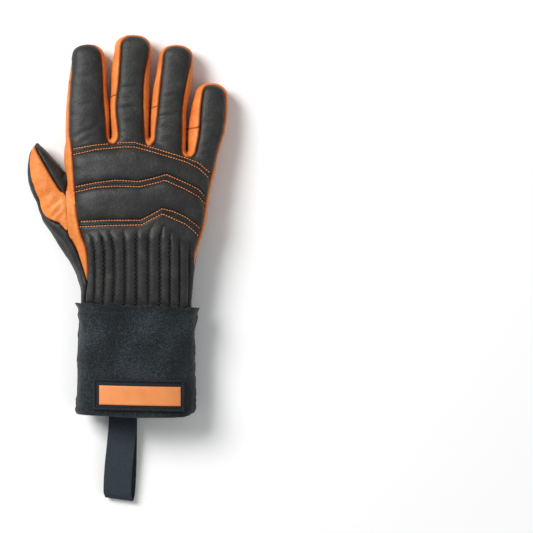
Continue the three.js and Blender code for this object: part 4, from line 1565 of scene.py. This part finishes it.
@dataclass
class LeatherHand:
    """The glove's hand: black back and palm, orange strips and thumb, all of it hollow and open at the wrist.

    Its sizes are in mm: the spacing of the surface's points, how deep and wide the stitched rows lie, how
    high the pads and ribs swell, and how deep a seam's turned edge falls away.
    """

    step: float
    low: tuple[float, float, float] = (-92.0, 68.5, -2.0)
    high: tuple[float, float, float] = (80.0, 301.0, 44.0)
    row_depth: float = 0.75
    row_width: float = 0.9
    between_rows: float = 0.35
    seam_depth: float = 0.5
    pad_height: float = 2.3
    pad_run: float = 2.6
    knuckle_height: float = 0.8
    rib_height: float = 1.0
    rib_growth: float = 1.9
    rib_sink: float = 0.9
    rib_margins: tuple[float, float] = (7.2, 7.5)
    palm_row_depth: float = 0.7
    black_edge: float = 1.5
    orange_edge: float = 1.35
    web_fill: float = 0.8
    cuff_gap: float = 0.9
    hand_field: HandField = HandField()
    seams: Seams = field(default_factory=Seams)
    outsides: list[tuple[Array, Array]] = field(default_factory=list)

    def build(self) -> None:
        """Cuts the smooth hand into its pieces and gives each its relief and thickness."""
        whole = surface_net(self.hand_field, self.low, self.high, self.step)
        whole.points = self.hand_field.settled(whole.points, 2)
        distances = self.seams.pieces(whole.points.T)
        log.info("smooth hand: %d triangles", len(whole.triangles))
        for panel in PANELS:
            skin = whole.clipped(distances[panel.name]).largest()
            for _ in range(panel.refine):
                skin = skin.refined()
                skin.points = self.hand_field.settled(skin.points, 1)
            self.make(panel, skin)

    def edge_distance(self, panel: Panel, skin: Skin) -> Array:
        """How far each point is from the piece's turned seams.

        Args:
            panel: the piece.
            skin: its surface.

        Returns:
            The distances. Flat stitched seams, joins between two orange strips and the hem don't count.
        """
        ends = skin.points[skin.rim()]
        marks = np.concatenate([ends[:, 0], ends.mean(axis=1)])
        at = x, y, z = marks.T
        seams, near = self.seams, 0.45
        flat = y < LEATHER_END + 1.0
        for line in (seams.knuckle, seams.pads, seams.ribs):
            flat |= (np.abs(line.side(at)) < near) & (z > SEAM_LEVEL + 2)
        for line in (seams.patch_top, seams.patch_foot):
            flat |= (np.abs(line.side(at)) < near) & (z < SEAM_LEVEL - 6)
        if panel.finish is Finish.ORANGE:
            flat |= seams.join_distance(at) < 0.6
            # The thumb's panel meets the strip in a flat seam here
            flat |= (x > -58) & (x < -46) & (y > 137) & (y < 174) & (z > 15)
        marks = marks[~flat]
        tree = KDTree(len(marks))
        for i, mark in enumerate(marks):
            tree.insert(mark, i)
        tree.balance()
        return np.array([tree.find(point)[2] for point in skin.points])

    def shade(self, panel: Panel, at: Places, edge: Array) -> Array:
        """How much painted shade each point gets in seams, stitched rows, rib valleys and joins, from 0 to 1.

        Args:
            panel: the piece.
            at: where its points are.
            edge: how far each is from the piece's turned seams.

        Returns:
            The values.
        """
        x, y, _ = at
        # Painted shade: darkest in turned seams, and also along joins, stitched rows and the ribs' valleys
        total = groove(edge, 0.9)
        if panel.finish is Finish.ORANGE:
            return np.maximum(total, 0.45 * groove(self.seams.join_distance(at), 0.5))
        if panel.on_back:
            for row in BACK_ROWS:
                total = np.maximum(total, 0.55 * groove(row.side(at), 1.1))
        if panel.name == "ribbed_wrist":
            below = step_up(RIB_TOPS.height(x) - y, -1.0, 6.0)
            for i in range(len(RIB_VALLEYS)):
                total = np.maximum(total, 0.9 * groove(x - valley_x(i, y), 1.1) * below)
        return total

    def rib_relief(self, at: Places) -> Array:
        """The padded ribs of the wrist, each a rounded bar between two stitched valleys.

        Args:
            at: where the points are.

        Returns:
            The heights, mm.
        """
        x, y = at[:2]
        valleys = [valley_x(i, y) for i in range(len(RIB_VALLEYS))]
        before, after = self.rib_margins
        edges = [valleys[0] - before, *valleys, valleys[-1] + after]
        height = np.zeros(len(x))
        for left, right in zip(edges, edges[1:]):
            t = 2 * (x - left) / (right - left) - 1
            bar = np.clip(1 - np.abs(t) ** 2.2, 0, 1) ** 0.62
            height = np.maximum(height, np.where(np.abs(t) < 1, bar, 0))
        below = RIB_TOPS.height(x) - y
        ends = step_up(below / (10.0 + 5.0 * step_up(x, 4, 14)), 0, 1)
        tall = self.rib_height + self.rib_growth * step_up(y, 78, 94)
        return tall * height * ends - self.rib_sink * step_up(below, 0.0, 14.0)

    def back_relief(self, at: Places, edge: Array) -> Array:
        """The relief of the back's black leather: stitched rows, pads between them, ribs and creases.

        Args:
            at: where the points are.
            edge: how far each is from the piece's turned seams.

        Returns:
            The heights, mm.
        """
        x, y, z = at
        rows = [row.side(at) for row in BACK_ROWS]
        total = np.zeros(len(x))
        cuts = (self.seams.knuckle, self.seams.pads, self.seams.ribs)
        for upper, lower, seam in zip(rows[::2], rows[1::2], cuts):
            total -= self.row_depth * (groove(upper, self.row_width) + groove(lower, self.row_width))
            total += self.between_rows * groove((upper + lower) / 2, 1.2)
            total -= self.seam_depth * groove(seam.side(at), 0.4)
        near_side = fullness(edge, 3.0)
        for above, below in ((rows[1], rows[2]), (rows[3], rows[4])):
            depth = np.minimum(-above, below)
            total += self.pad_height * fullness(np.maximum(depth - 0.6, 0), self.pad_run) * near_side
        total += self.knuckle_height * fullness(np.maximum(rows[0] - 0.8, 0), 3.0) * near_side
        total += self.rib_relief(at) * fullness(edge, 1.0) * step_up(z, 19, 29)
        total += 0.85 * creased(WRINKLES, at)
        crumpled = step_up(y, 186, 214) * step_up(-y, -262, -236)
        fine = noise(np.stack([x / 3.2, y, z / 3], axis=1), 2.1, 41)
        fine += 0.8 * noise(np.stack([x / 2, y, z], axis=1), 3.4, 42)
        return total + 0.13 * crumpled * fine

    def palm_relief(self, at: Places) -> Array:
        """The relief of the palm's black leather: it never stands out, because the glove rests on it.

        Args:
            at: where the points are.

        Returns:
            The heights, mm.
        """
        total = creased(PALM_WRINKLES, at)
        for row in PALM_ROWS:
            start, end = row.points[0][0], row.points[-1][0]
            here = step_up(at[0], start - 1, start + 1) * step_up(-at[0], -end - 1, -end + 1)
            total -= self.palm_row_depth * groove(row.side(at), 1.0) * here
        for line in (self.seams.patch_top, self.seams.patch_foot):
            total -= 0.4 * groove(line.side(at), 0.5)
        return total

    def orange_relief(self, at: Places, edge: Array, turned: Array) -> Array:
        """The relief of the orange leather: rounded edges, joins, creases and a filled web at the thumb.

        Args:
            at: where the points are.
            edge: how far each is from the piece's turned seams.
            turned: how far its edge is turned at each.

        Returns:
            The heights, mm.
        """
        _, y, z = at
        join = self.seams.join_distance(at)
        total = (0.35 * groove(edge - 1.6, 0.9) - self.orange_edge * np.exp(-edge / 0.75)) * turned
        total += 0.25 * groove(join - 1.0, 0.8) - 0.55 * groove(join, 0.4)
        total += 0.6 * creased(THUMB_WRINKLES, at) * step_up(z, 12, 18)
        total += 0.16 * noise(at.T * np.array([1.0, 0.25, 0.6]), 2.6, 12)
        web = groove(self.seams.stacked(self.seams.thumb_upper, self.seams.thumb_lower, at), 3.5)
        web *= step_up(z, 14, 19) * step_up(y, 137, 145) * step_up(-y, -174, -166)
        return total + self.web_fill * web

    def relief(self, panel: Panel, at: Places, edge: Array) -> Array:
        """How far each point of a piece is moved outwards.

        Args:
            panel: the piece.
            at: where its points are.
            edge: how far each is from the piece's turned seams.

        Returns:
            The heights, mm.
        """
        x, y, z = at
        turned = 1 - 0.75 * step_up(-y, -134, -116) * step_up(x, 20, 34)
        if panel.finish is Finish.ORANGE:
            total = self.orange_relief(at, edge, turned)
        else:
            total = (0.5 * fullness(edge, 2.2) - self.black_edge * np.exp(-edge / 0.85)) * turned
            if panel.on_back:
                total += self.back_relief(at, edge)
            elif panel.name.startswith("thumb"):
                total += 1.3 * creased(THUMB_WRINKLES, at) * step_up(z, 10, 17)
                total += creased(PALM_WRINKLES, at) * step_up(-z, -15, -8)
            else:
                total += self.palm_relief(at)
        total += 0.35 * noise(at.T, 17, 3) + 0.1 * noise(at.T, 6.5, 5) + 0.05 * noise(at.T, 2.6, 9)
        wrist = step_up(-y, -90, -82)
        return total * (1 - wrist) + np.minimum(total, self.cuff_gap) * wrist

    def make(self, panel: Panel, skin: Skin) -> None:
        """Makes a piece: its outside with its relief, its flat inside and the turned edge between them.

        Args:
            panel: the piece.
            skin: its surface.
        """
        points, triangles, count = skin.points, skin.triangles, len(skin.points)
        normals = self.hand_field.normals(points)
        edge = self.edge_distance(panel, skin)
        outer = off_floor(points + normals * self.relief(panel, points.T, edge)[:, None])
        inner = points - normals * panel.thickness
        a, b = skin.rim().T
        faces = np.concatenate([
            triangles,
            triangles[:, ::-1] + count,
            np.stack([b, a, a + count], axis=1),
            np.stack([b, a + count, b + count], axis=1),
        ])
        # seam carries the painted shade of seams, rows, valleys and joins; inside marks the lining
        attributes = {
            "seam": np.concatenate([self.shade(panel, points.T, edge), np.zeros(count)]),
            "inside": np.concatenate([np.zeros(count), np.ones(count)]),
        }
        name, both = f"{panel.name}_leather", np.concatenate([outer, inner])
        made = make_piece(name, both, faces, panel.finish, panel.slot, attributes)
        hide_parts(*(panel.nodes or (panel.name,)))
        log.info("%s: about %.0f square mm of leather", panel.name, skin.area())
        self.outsides.append((outer, triangles))


@dataclass
class HandStitching:
    """All the thread that shows on the leather hand.

    A row keeps a margin from the edge of its leather, and the stitches in a valley swing from side to side.
    """

    sew: Seamstress
    seams: Seams
    back_margin: float = 1.4
    palm_margin: float = 1.2
    join_margin: float = 0.6
    swing: float = 0.7
    beside_groove: float = 3.0

    def build(self) -> None:
        """Sews the rows of the back, the ribs' valleys, the palm's rows and the strips' joins."""
        self.finish("back_topstitching", self.back_rows(), Finish.ORANGE_THREAD, Slot.ORANGE)
        self.finish("rib_stitching", self.valleys(), Finish.BLACK_THREAD, Slot.BLACK)
        self.finish("palm_topstitching", self.palm_rows(), Finish.BLACK_THREAD, Slot.BLACK)
        self.finish("strip_join_stitching", self.strip_joins(), Finish.RED_THREAD, Slot.ORANGE)

    def finish(self, name: str, meshes: list[Mesh], finish: Finish, slot: Slot) -> None:
        """Gathers rows of stitches into one piece."""
        make_piece(name, *gathered(meshes), finish, slot)

    def back_row(self, thread: Thread, path: Array) -> Mesh:
        """One row along a path on the back, where its leather is."""
        inside = self.seams.back_outline.distance(path.T) < -self.back_margin
        return self.sew.stitch(thread, self.sew.drop(path[inside]))

    def back_rows(self) -> list[Mesh]:
        """The three double rows of orange topstitching."""
        paths = [row.walk(TOPSTITCH.pitch, row.points[0][0] - 3, row.points[-1][0] + 2) for row in BACK_ROWS]
        return [self.back_row(TOPSTITCH, path) for path in paths]

    def valleys(self) -> list[Mesh]:
        """Sews the valleys between the ribs.

        Returns:
            The row of each valley.
        """
        rows = []
        ys = np.arange(84.0, 152.0, VALLEY_STITCH.pitch)
        swing = self.swing * np.where(np.arange(len(ys)) % 2, 1, -1)
        for i in range(len(RIB_VALLEYS)):
            xs = valley_x(i, ys)
            below = ys < RIB_TOPS.height(xs) - 1.0
            rows.append(self.back_row(VALLEY_STITCH, np.stack([xs + swing, ys], axis=1)[below]))
        return rows

    def palm_rows(self) -> list[Mesh]:
        """Sews the black topstitching of the palm and along its groove.

        Returns:
            The rows.
        """
        rows = []
        paths = [row.walk(PALM_STITCH.pitch, row.points[0][0], row.points[-1][0]) for row in PALM_ROWS]
        by_groove = rounded_path(self.seams.palm_groove[3:], 8) + np.array([self.beside_groove, 0.0])
        for path in (*paths, walk_along(by_groove, PALM_STITCH.pitch)):
            inside = self.seams.palm_outline.distance(path.T) < -self.palm_margin
            rows.append(self.sew.stitch(PALM_STITCH, self.sew.drop(path[inside], below=True)))
        return rows

    def strip_joins(self) -> list[Mesh]:
        """Sews a dark red row along each join of the orange strips, up the side of its finger.

        Returns:
            The rows.
        """
        rows = []
        for join in JOINS.values():
            spots = []
            for z in np.arange(5.5, 24.0, JOIN_STITCH.pitch):
                y = join.y + float(self.seams.join_rise(z))
                start = np.array([float(self.seams.middle(join.finger, np.array(y))), y, z])
                found = self.sew.hit(start, (float(join.side), 0.0, 0.0))
                outline = self.seams.back_outline if z > SEAM_LEVEL else self.seams.palm_outline
                if found and outline.distance(np.array([[found[0][0]], [y]]))[0] > self.join_margin:
                    spots.append(found)
            if len(spots) > 2:
                rows.append(self.sew.stitch(JOIN_STITCH, spots))
        return rows


# The cuff


def cuff_rounding(y: Array) -> Array:
    """How square the cuff's section is at Y: as the hand's where it holds it, rounder towards the mouth."""
    return MOUTH_ROUNDING + (HAND_ROUNDING - MOUTH_ROUNDING) * step_up(y, 48, 70)


@dataclass
class Cuff:
    """The suede gauntlet, turned up on itself at the mouth, with a raw upper edge.

    Its sizes are in mm: the Y of its raw edge, of its inner edge and of its fold, the suede's thickness, the
    air between the layers, how far its upper end flares, and how far the thread runs under the raw edge.
    """

    sew: Seamstress
    top: float = 85.5
    inner_top: float = 70.6
    fold: float = 2.2
    fold_reach: float = 3.7
    suede: float = 1.8
    between: float = 0.6
    flare: float = 1.5
    hem_line: float = 6.2
    hem_depth: float = 0.6
    side_seam: float = 0.8
    soft_fold: float = 1.3
    slant: float = -0.045
    around: int = 300
    cut: tuple[float, float] = (250.0, 170.0)
    middle: tuple[float, float] = (1.2, 18.6)
    half: tuple[float, float] = (46.0, 19.8)
    box: Line = ((-8, 25), (8, 25), (8, 5), (-8, 5), (-8, 25), (8, 5), (8, 25), (-8, 5))
    mouth_line: Crossing = Crossing((
        (-46, 3.4), (-43, 2.0), (-20, 1.2), (0, 0), (30, 0), (38, 0.3), (43, 1.4), (47, 4.5),
    ))

    def ring(self, y: float, inset: float) -> Array:
        """One even ring of points round the cuff.

        Args:
            y: where it is.
            inset: how far inside the cuff's outside it is, mm.

        Returns:
            The points.
        """
        left, right, bottom, top = CUFF_ROWS.sides(np.array(y))
        turn = np.linspace(0, 2 * math.pi, 1200, endpoint=False)
        round_trip = np.stack([np.cos(turn), np.sin(turn)], axis=1)
        squared = np.sign(round_trip) * np.abs(round_trip) ** (2 / cuff_rounding(y))
        middle = np.array([left + right, bottom + top]) / 2
        path = middle + (np.array([right - left, top - bottom]) / 2 - inset) * squared
        path[:, 1] = np.maximum(path[:, 1], inset)
        path = np.concatenate([path, path[:1]])
        x, z = places_along(path, np.linspace(0, travelled(path)[-1], self.around, endpoint=False)).T
        return np.stack([x, np.full(self.around, y), z], axis=1)

    def profile(self) -> list[tuple[float, float]]:
        """The suede in section: down the outside, round the fold, up the inside and back between the layers.

        Returns:
            Y and how far inside the cuff's outside, for each ring.
        """
        under = self.suede + self.between
        deep = under + self.suede
        path = [(self.top - 0.2, 1.1), (self.top, 0.5), (self.top - 0.3, 0.05)]
        path += [(y, 0.0) for y in np.arange(self.top - 1.0, self.fold, -1.0)]
        path += [(self.fold - self.fold_reach * math.sin(turn), deep / 2 * (1 - math.cos(turn)))
                 for turn in np.linspace(0.15, math.pi - 0.15, 9)]
        path += [(y, deep) for y in np.arange(self.fold + 1, self.inner_top, 2.5)]
        path += [(self.inner_top, deep - 0.4), (self.inner_top, under + 0.4)]
        path += [(y, under) for y in np.linspace(self.inner_top - 1, self.fold + 2, 10)]
        path += [(self.fold + 1, (under + self.suede) / 2)]
        path += [(y, self.suede) for y in np.linspace(self.fold + 2, self.top - 1.0, 12)]
        return path

    def shaped(self, rings: Array) -> Array:
        """Makes the cuff uneven: soft waves, a fold, a raw edge, side seams and a stitched line.

        Args:
            rings: points as rings, rounds and coordinates.

        Returns:
            The moved points in the same order.
        """
        x, y, z = (rings[..., k] for k in range(3))
        (middle_x, middle_z), (half_x, half_z) = self.middle, self.half
        out_x, out_z = (x - middle_x) / half_x, (z - middle_z) / half_z
        power = HAND_ROUNDING - 1
        ways = unit(np.stack([np.sign(out_x) * np.abs(out_x) ** power / half_x, 0 * x,
                              np.sign(out_z) * np.abs(out_z) ** power / half_z], axis=-1))
        lie = step_up(z, 2, 7)  # it lies flat where it touches the floor
        calm = 1 - 0.85 * step_up(z, 30, 36) * step_up(-y, -33, -27) * step_up(y, -1, 3)  # under the label
        wave = 0.95 * noise(rings, 23, 21) + 0.55 * noise(rings, 9, 22)
        fuzz = 0.22 * noise(rings, 2.6, 23) + 0.1 * noise(rings, 1.3, 24)
        lip = groove(y - self.top, 2.4) * (1.3 + 0.7 * noise(rings, 6, 25))
        lip -= 0.5 * groove(y - self.top + 4.2, 1.2)
        at_side = (np.abs(out_x) > 0.9) * groove(z - middle_z, 2.0) * (1.0 + 0.5 * noise(rings, 3.4, 26))
        out = (wave * calm + fuzz + lip + self.flare * step_up(y, 66, 80)) * lie + self.side_seam * at_side
        fold = groove(y - 50 + 0.5 * x, 7) * step_up(z, 28, 34) * step_up(-np.abs(x), -38, -20)
        out += self.soft_fold * fold * calm - self.hem_depth * groove(y - self.top + self.hem_line, 0.9) * lie
        moved = rings + ways * out[..., None]
        edge = np.stack([x, 0 * y, z], axis=-1)
        ragged = 0.9 * noise(edge, 13, 31) + 1.2 * noise(edge, 4.2, 32) + 0.6 * noise(edge, 1.8, 33)
        ragged *= 1 - 0.65 * step_up(np.abs(out_x), 0.85, 0.97)
        moved[..., 1] += step_up(y, self.top - 5, self.top) * ragged + self.slant * x * step_up(y, 40, 80)
        moved[..., 1] += self.mouth_line.height(x) * step_up(-y, -26, 2)
        return off_floor(moved)

    def build(self) -> None:
        """Makes the suede, the line of thread under its raw edge and the crossed box that holds the loop."""
        rings = self.shaped(np.stack([self.ring(y, inset) for y, inset in self.profile()]))
        grid = np.arange(len(rings) * self.around).reshape(len(rings), self.around)
        faces = grid_faces(np.pad(grid, ((0, 1), (0, 1)), mode="wrap"))
        points = rings.reshape(-1, 3)
        made = make_piece("cuff_suede", points, faces, Finish.SUEDE, Slot.SUEDE)
        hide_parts("cuff")
        triangles = np.concatenate([faces[:, [0, 1, 2]], faces[:, [0, 2, 3]]])
        self.sew.lay_out([(points, triangles)])
        xs = np.linspace(-38, 41, 200)
        hem = np.stack([xs, self.top - self.hem_line + self.slant * xs], axis=1)
        rows = ((hem, False), (hem, True), (np.array(self.box, float), True))
        meshes = [self.sew.stitch(HEM_STITCH, self.sew.drop(walk_along(path, HEM_STITCH.pitch), below))
                  for path, below in rows]
        make_piece("cuff_stitching", *gathered(meshes), Finish.NAVY_THREAD, Slot.SUEDE)


@dataclass(frozen=True)
class Plate:
    """An oblong plate on the cuff's back, in mm."""

    left: float
    right: float
    low: float
    high: float
    lift: float
    thick: float
    rounding: float
    bead: float = 0.0


@dataclass
class Label:
    """The dark woven patch on the cuff's back, tilted round its middle, and the bare orange plate on it."""

    sew: Seamstress
    patch: Plate = Plate(-32.0, 39.0, 3.8, 28.6, 0.5, 1.5, 1.0, bead=0.7)
    plate: Plate = Plate(-27.0, 36.2, 8.2, 23.2, 1.9, 1.1, 0.45)
    step: float = 0.45
    tilt: float = -0.023
    middle: float = 4.5
    sunk: float = 0.4
    border_inset: float = 1.2
    border_lift: float = 0.55
    row_lift: float = -0.1

    def ground(self, x: Array, y: Array) -> Array:
        """The height of the cuff's smooth back.

        Args:
            x: the places' X.
            y: the places' Y.

        Returns:
            The heights, mm.
        """
        left, right, bottom, top = CUFF_ROWS.sides(y)
        share = np.clip(np.abs(x - (left + right) / 2) / ((right - left) / 2), 0, 0.999)
        rounding = cuff_rounding(y)
        return (bottom + top) / 2 + (top - bottom) / 2 * (1 - share**rounding) ** (1 / rounding)

    def slab(self, plate: Plate) -> tuple[Array, Array, Array]:
        """A plate with rounded edges that follows the cuff.

        Args:
            plate: its sizes.

        Returns:
            The points, the faces and each point's place in the weave.
        """
        xs = np.linspace(plate.left, plate.right, round((plate.right - plate.left) / self.step))
        ys = np.linspace(plate.low, plate.high, round((plate.high - plate.low) / self.step))
        for values in (xs, ys):
            values[1] = values[0] + 0.3 * plate.rounding
            values[-2] = values[-1] - 0.3 * plate.rounding
        x, y = np.meshgrid(xs, ys, indexing="ij")
        inward = np.min([x - plate.left, plate.right - x, y - plate.low, plate.high - y], axis=0)
        t = np.clip(inward / plate.rounding, 0, 1)
        crown = np.sqrt(np.clip(1 - (1 - t) ** 2, 0, 1))
        base = self.ground(x, y) + plate.lift - self.sunk
        bead = plate.bead * (groove(inward - 1.2, 0.75) - 0.5 * groove(inward - 2.6, 0.5))
        y = y + self.tilt * (x - self.middle)
        top = base + self.sunk + plate.thick * (0.25 + 0.75 * crown) + bead
        points = np.concatenate([np.stack([x, y, z], axis=-1).reshape(-1, 3) for z in (top, base)])
        grid = np.arange(x.size).reshape(x.shape)
        upper = grid_faces(grid)
        rim = np.concatenate([grid[:-1, 0], grid[-1, :-1], grid[:0:-1, -1], grid[0, :0:-1]])
        following = np.roll(rim, -1)
        wall = np.stack([rim, rim + x.size, following + x.size, following], axis=1)
        weave = np.stack([x + y, x - y, 0 * x], axis=-1).reshape(-1, 3)
        return points, np.concatenate([upper, upper[:, ::-1] + x.size, wall]), np.concatenate([weave, weave])

    def border(self, plate: Plate, inset: float, thread: Thread, lift: float, across: bool) -> Mesh:
        """Stitches round a plate.

        Args:
            plate: the plate.
            inset: how far inside its edge they are, mm.
            thread: the kind of stitch.
            lift: how far above the patch's top they are, mm.
            across: whether they lie across the row.

        Returns:
            The row's points and faces.
        """
        left, right = plate.left + inset, plate.right - inset
        low, high = plate.low + inset, plate.high - inset
        corners = np.array([(left, low), (right, low), (right, high), (left, high), (left, low)])
        x, y = walk_along(corners, thread.pitch)[:-1].T
        y = y + self.tilt * (x - self.middle)
        z = self.ground(x, y) + self.patch.lift + self.patch.thick + lift
        upwards = np.array([0.0, 0.0, 1.0])
        return self.sew.stitch(thread, [(place, upwards) for place in np.stack([x, y, z], axis=1)], across)

    def build(self) -> None:
        """Makes the patch, its satin-stitched border with a second row inside it, and the plate."""
        points, faces, weave = self.slab(self.patch)
        patch = make_piece("label_frame_cloth", points, faces, Finish.PATCH, Slot.PATCH, {"weave": weave})
        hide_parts("label_frame")
        points, faces, _ = self.slab(self.plate)
        plate = make_piece("label_plate", points, faces, Finish.PLATE, Slot.PLATE)
        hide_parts("label")
        border = self.border(self.patch, self.border_inset, SATIN_STITCH, self.border_lift, True)
        row = self.border(self.plate, -self.border_inset, HEM_STITCH, self.row_lift, False)
        make_piece("label_stitching", *gathered([border, row]), Finish.NAVY_THREAD, Slot.PATCH)


@dataclass
class HangLoop:
    """The webbing loop sewn into the mouth on the palm side.

    Each row of its path holds Y, Z, X and the tape's turn in degrees.
    """

    width: float = 22.0
    thick: float = 1.4
    cut_length: float = 175.0
    selvedge: float = 0.5
    rib_pitch: float = 1.5
    rib_height: float = 0.07
    step: float = 0.6
    rows: tuple[tuple[float, ...], ...] = (
        (9, 5.3, -10, 0), (0, 5.3, -10, 0), (-7, 4.2, -10, 0), (-16, 1.4, -10.2, -1), (-28, 0.7, -10.4, -2),
        (-46, 0.7, -10.8, -4), (-60, 0.9, -11.6, -7), (-64.6, 1.9, -12.4, -8), (-66.4, 3.8, -13, -8),
        (-65.2, 5.9, -13.6, -8), (-60, 7.7, -14.4, -7), (-42, 8.9, -13.4, -5), (-24, 9.0, -11.6, -3),
        (-10, 8.2, -10.4, -1), (0, 7.3, -10, 0), (9, 7.2, -10, 0),
    )

    def section(self) -> Array:
        """The tape's section: flat with ribs along it and rounded selvedges.

        Returns:
            Its points, across the tape and through it, mm.
        """
        flat = self.width / 2 - self.selvedge
        xs = np.linspace(-flat, flat, 57)
        ribs = self.rib_height * np.cos(2 * math.pi * xs / self.rib_pitch)
        upper = np.stack([xs, self.thick / 2 - 0.1 + ribs], axis=1)
        turn = np.linspace(math.pi / 2, -math.pi / 2, 6)[1:-1]
        right = np.stack([flat + self.selvedge * np.cos(turn), (self.thick / 2 - 0.1) * np.sin(turn)], axis=1)
        lower = upper[::-1] * np.array([1, -1])
        left = right[::-1] * np.array([-1, 1])
        return np.concatenate([upper, right, lower, left])

    def build(self) -> None:
        """Sweeps the tape's section along its path."""
        y, z, x, turn = walk_along(rounded_path(self.rows, 24), self.step).T
        centres = np.stack([x, y, z], axis=1)
        turn = np.radians(turn)
        across = np.stack([np.cos(turn), np.sin(turn), 0 * turn], axis=1)
        along = unit(np.gradient(centres, axis=0) * np.array([0.0, 1.0, 1.0]))
        face = unit(np.cross(across, along))
        section = self.section()
        wide, deep = section.T[:, :, None]
        points = centres[:, None] + across[:, None] * wide + face[:, None] * deep
        rings, around = points.shape[:2]
        weave = np.zeros(points.shape)
        weave[..., 0] = section[:, 0]
        weave[..., 1] = travelled(centres)[:, None]
        points, faces = off_floor(points).reshape(-1, 3), tube_faces(rings, around)
        attributes = {"weave": weave.reshape(-1, 3)}
        made = make_piece("hang_loop_tape", points, faces, Finish.WEBBING, Slot.WEBBING, attributes)
        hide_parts("hang_loop")


@dataclass(frozen=True)
class Lamp:
    """A square soft light that faces the glove: its place and size in metres and its power in watts."""

    name: str
    place: tuple[float, float, float]
    size: float
    power: float


@dataclass
class Studio:
    """A pale floor, soft light from the upper left and the camera straight above.

    The camera's place, height, sensor and the width that it frames are in mm, and the rest is in metres.
    """

    view_x: float = 107.8
    view_y: float = 1.7
    frame_width: float = 415.7
    frame_level: float = 20.0
    height: float = 2400.0
    sensor: float = 36.0
    clip_end: float = 50.0
    floor_half: float = 6.0
    sky: float = 0.38
    lamps: tuple[Lamp, ...] = (
        Lamp("key", (-1.45, 1.1, 1.75), 1.2, 75.0),
        Lamp("fill", (1.6, -0.8, 1.8), 2.0, 10.0),
    )

    def build(self) -> None:
        """Makes the floor, the lights and the camera."""
        self.floor()
        self.lights()
        self.camera()

    def floor(self) -> None:
        """A wide pale floor under the glove."""
        half = self.floor_half
        mesh = bpy.data.meshes.new("floor")
        corners = [(-half, -half, 0), (half, -half, 0), (half, half, 0), (-half, half, 0)]
        mesh.from_pydata(corners, [], [(0, 1, 2, 3)])
        floor = bpy.data.objects.new("floor", mesh)
        bpy.context.scene.collection.objects.link(floor)
        paper = Surface("paper_matt_white", Roughness=0.9, Specular_IOR_Level=0.1)
        paper.shader.inputs["Base Color"].default_value = linear("#f6f6f5")
        mesh.materials.append(paper.material)

    def lights(self) -> None:
        """A large soft light from the upper left, a weak one from the right and an even sky."""
        for lamp in self.lamps:
            light = bpy.data.lights.new(lamp.name, "AREA")
            light.size, light.energy = lamp.size, lamp.power
            made = bpy.data.objects.new(lamp.name, light)
            made.location = lamp.place
            made.rotation_euler = (-Vector(lamp.place)).to_track_quat("-Z", "Y").to_euler()
            bpy.context.scene.collection.objects.link(made)
        world = bpy.data.worlds.new("studio")
        world.use_nodes = True
        sky = world.node_tree.nodes["Background"].inputs
        sky["Color"].default_value = linear("#f4f6f8")
        sky["Strength"].default_value = self.sky
        bpy.context.scene.world = world
        bpy.context.scene.view_settings.view_transform = "Standard"

    def camera(self) -> None:
        """The camera at the photograph's angle, with the glove on the left of its frame."""
        data = bpy.data.cameras.new("camera")
        data.sensor_width, data.clip_end = self.sensor, self.clip_end
        data.lens = self.sensor * (self.height - self.frame_level) / self.frame_width
        camera = bpy.data.objects.new("camera", data)
        camera.location = (self.view_x * MM, self.view_y * MM, self.height * MM)
        bpy.context.scene.collection.objects.link(camera)
        bpy.context.scene.camera = camera


def main() -> None:
    """Builds the glove's parts in order."""
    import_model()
    Studio().build()
    seamstress = Seamstress()
    hand = LeatherHand(FULL_STEP)
    hand.build()
    seamstress.lay_out(hand.outsides)
    for part in (HandStitching(seamstress, hand.seams), Cuff(seamstress), Label(seamstress), HangLoop()):
        part.build()
        log.info("%s is made", type(part).__name__)


if __name__ == "__main__":
    main()
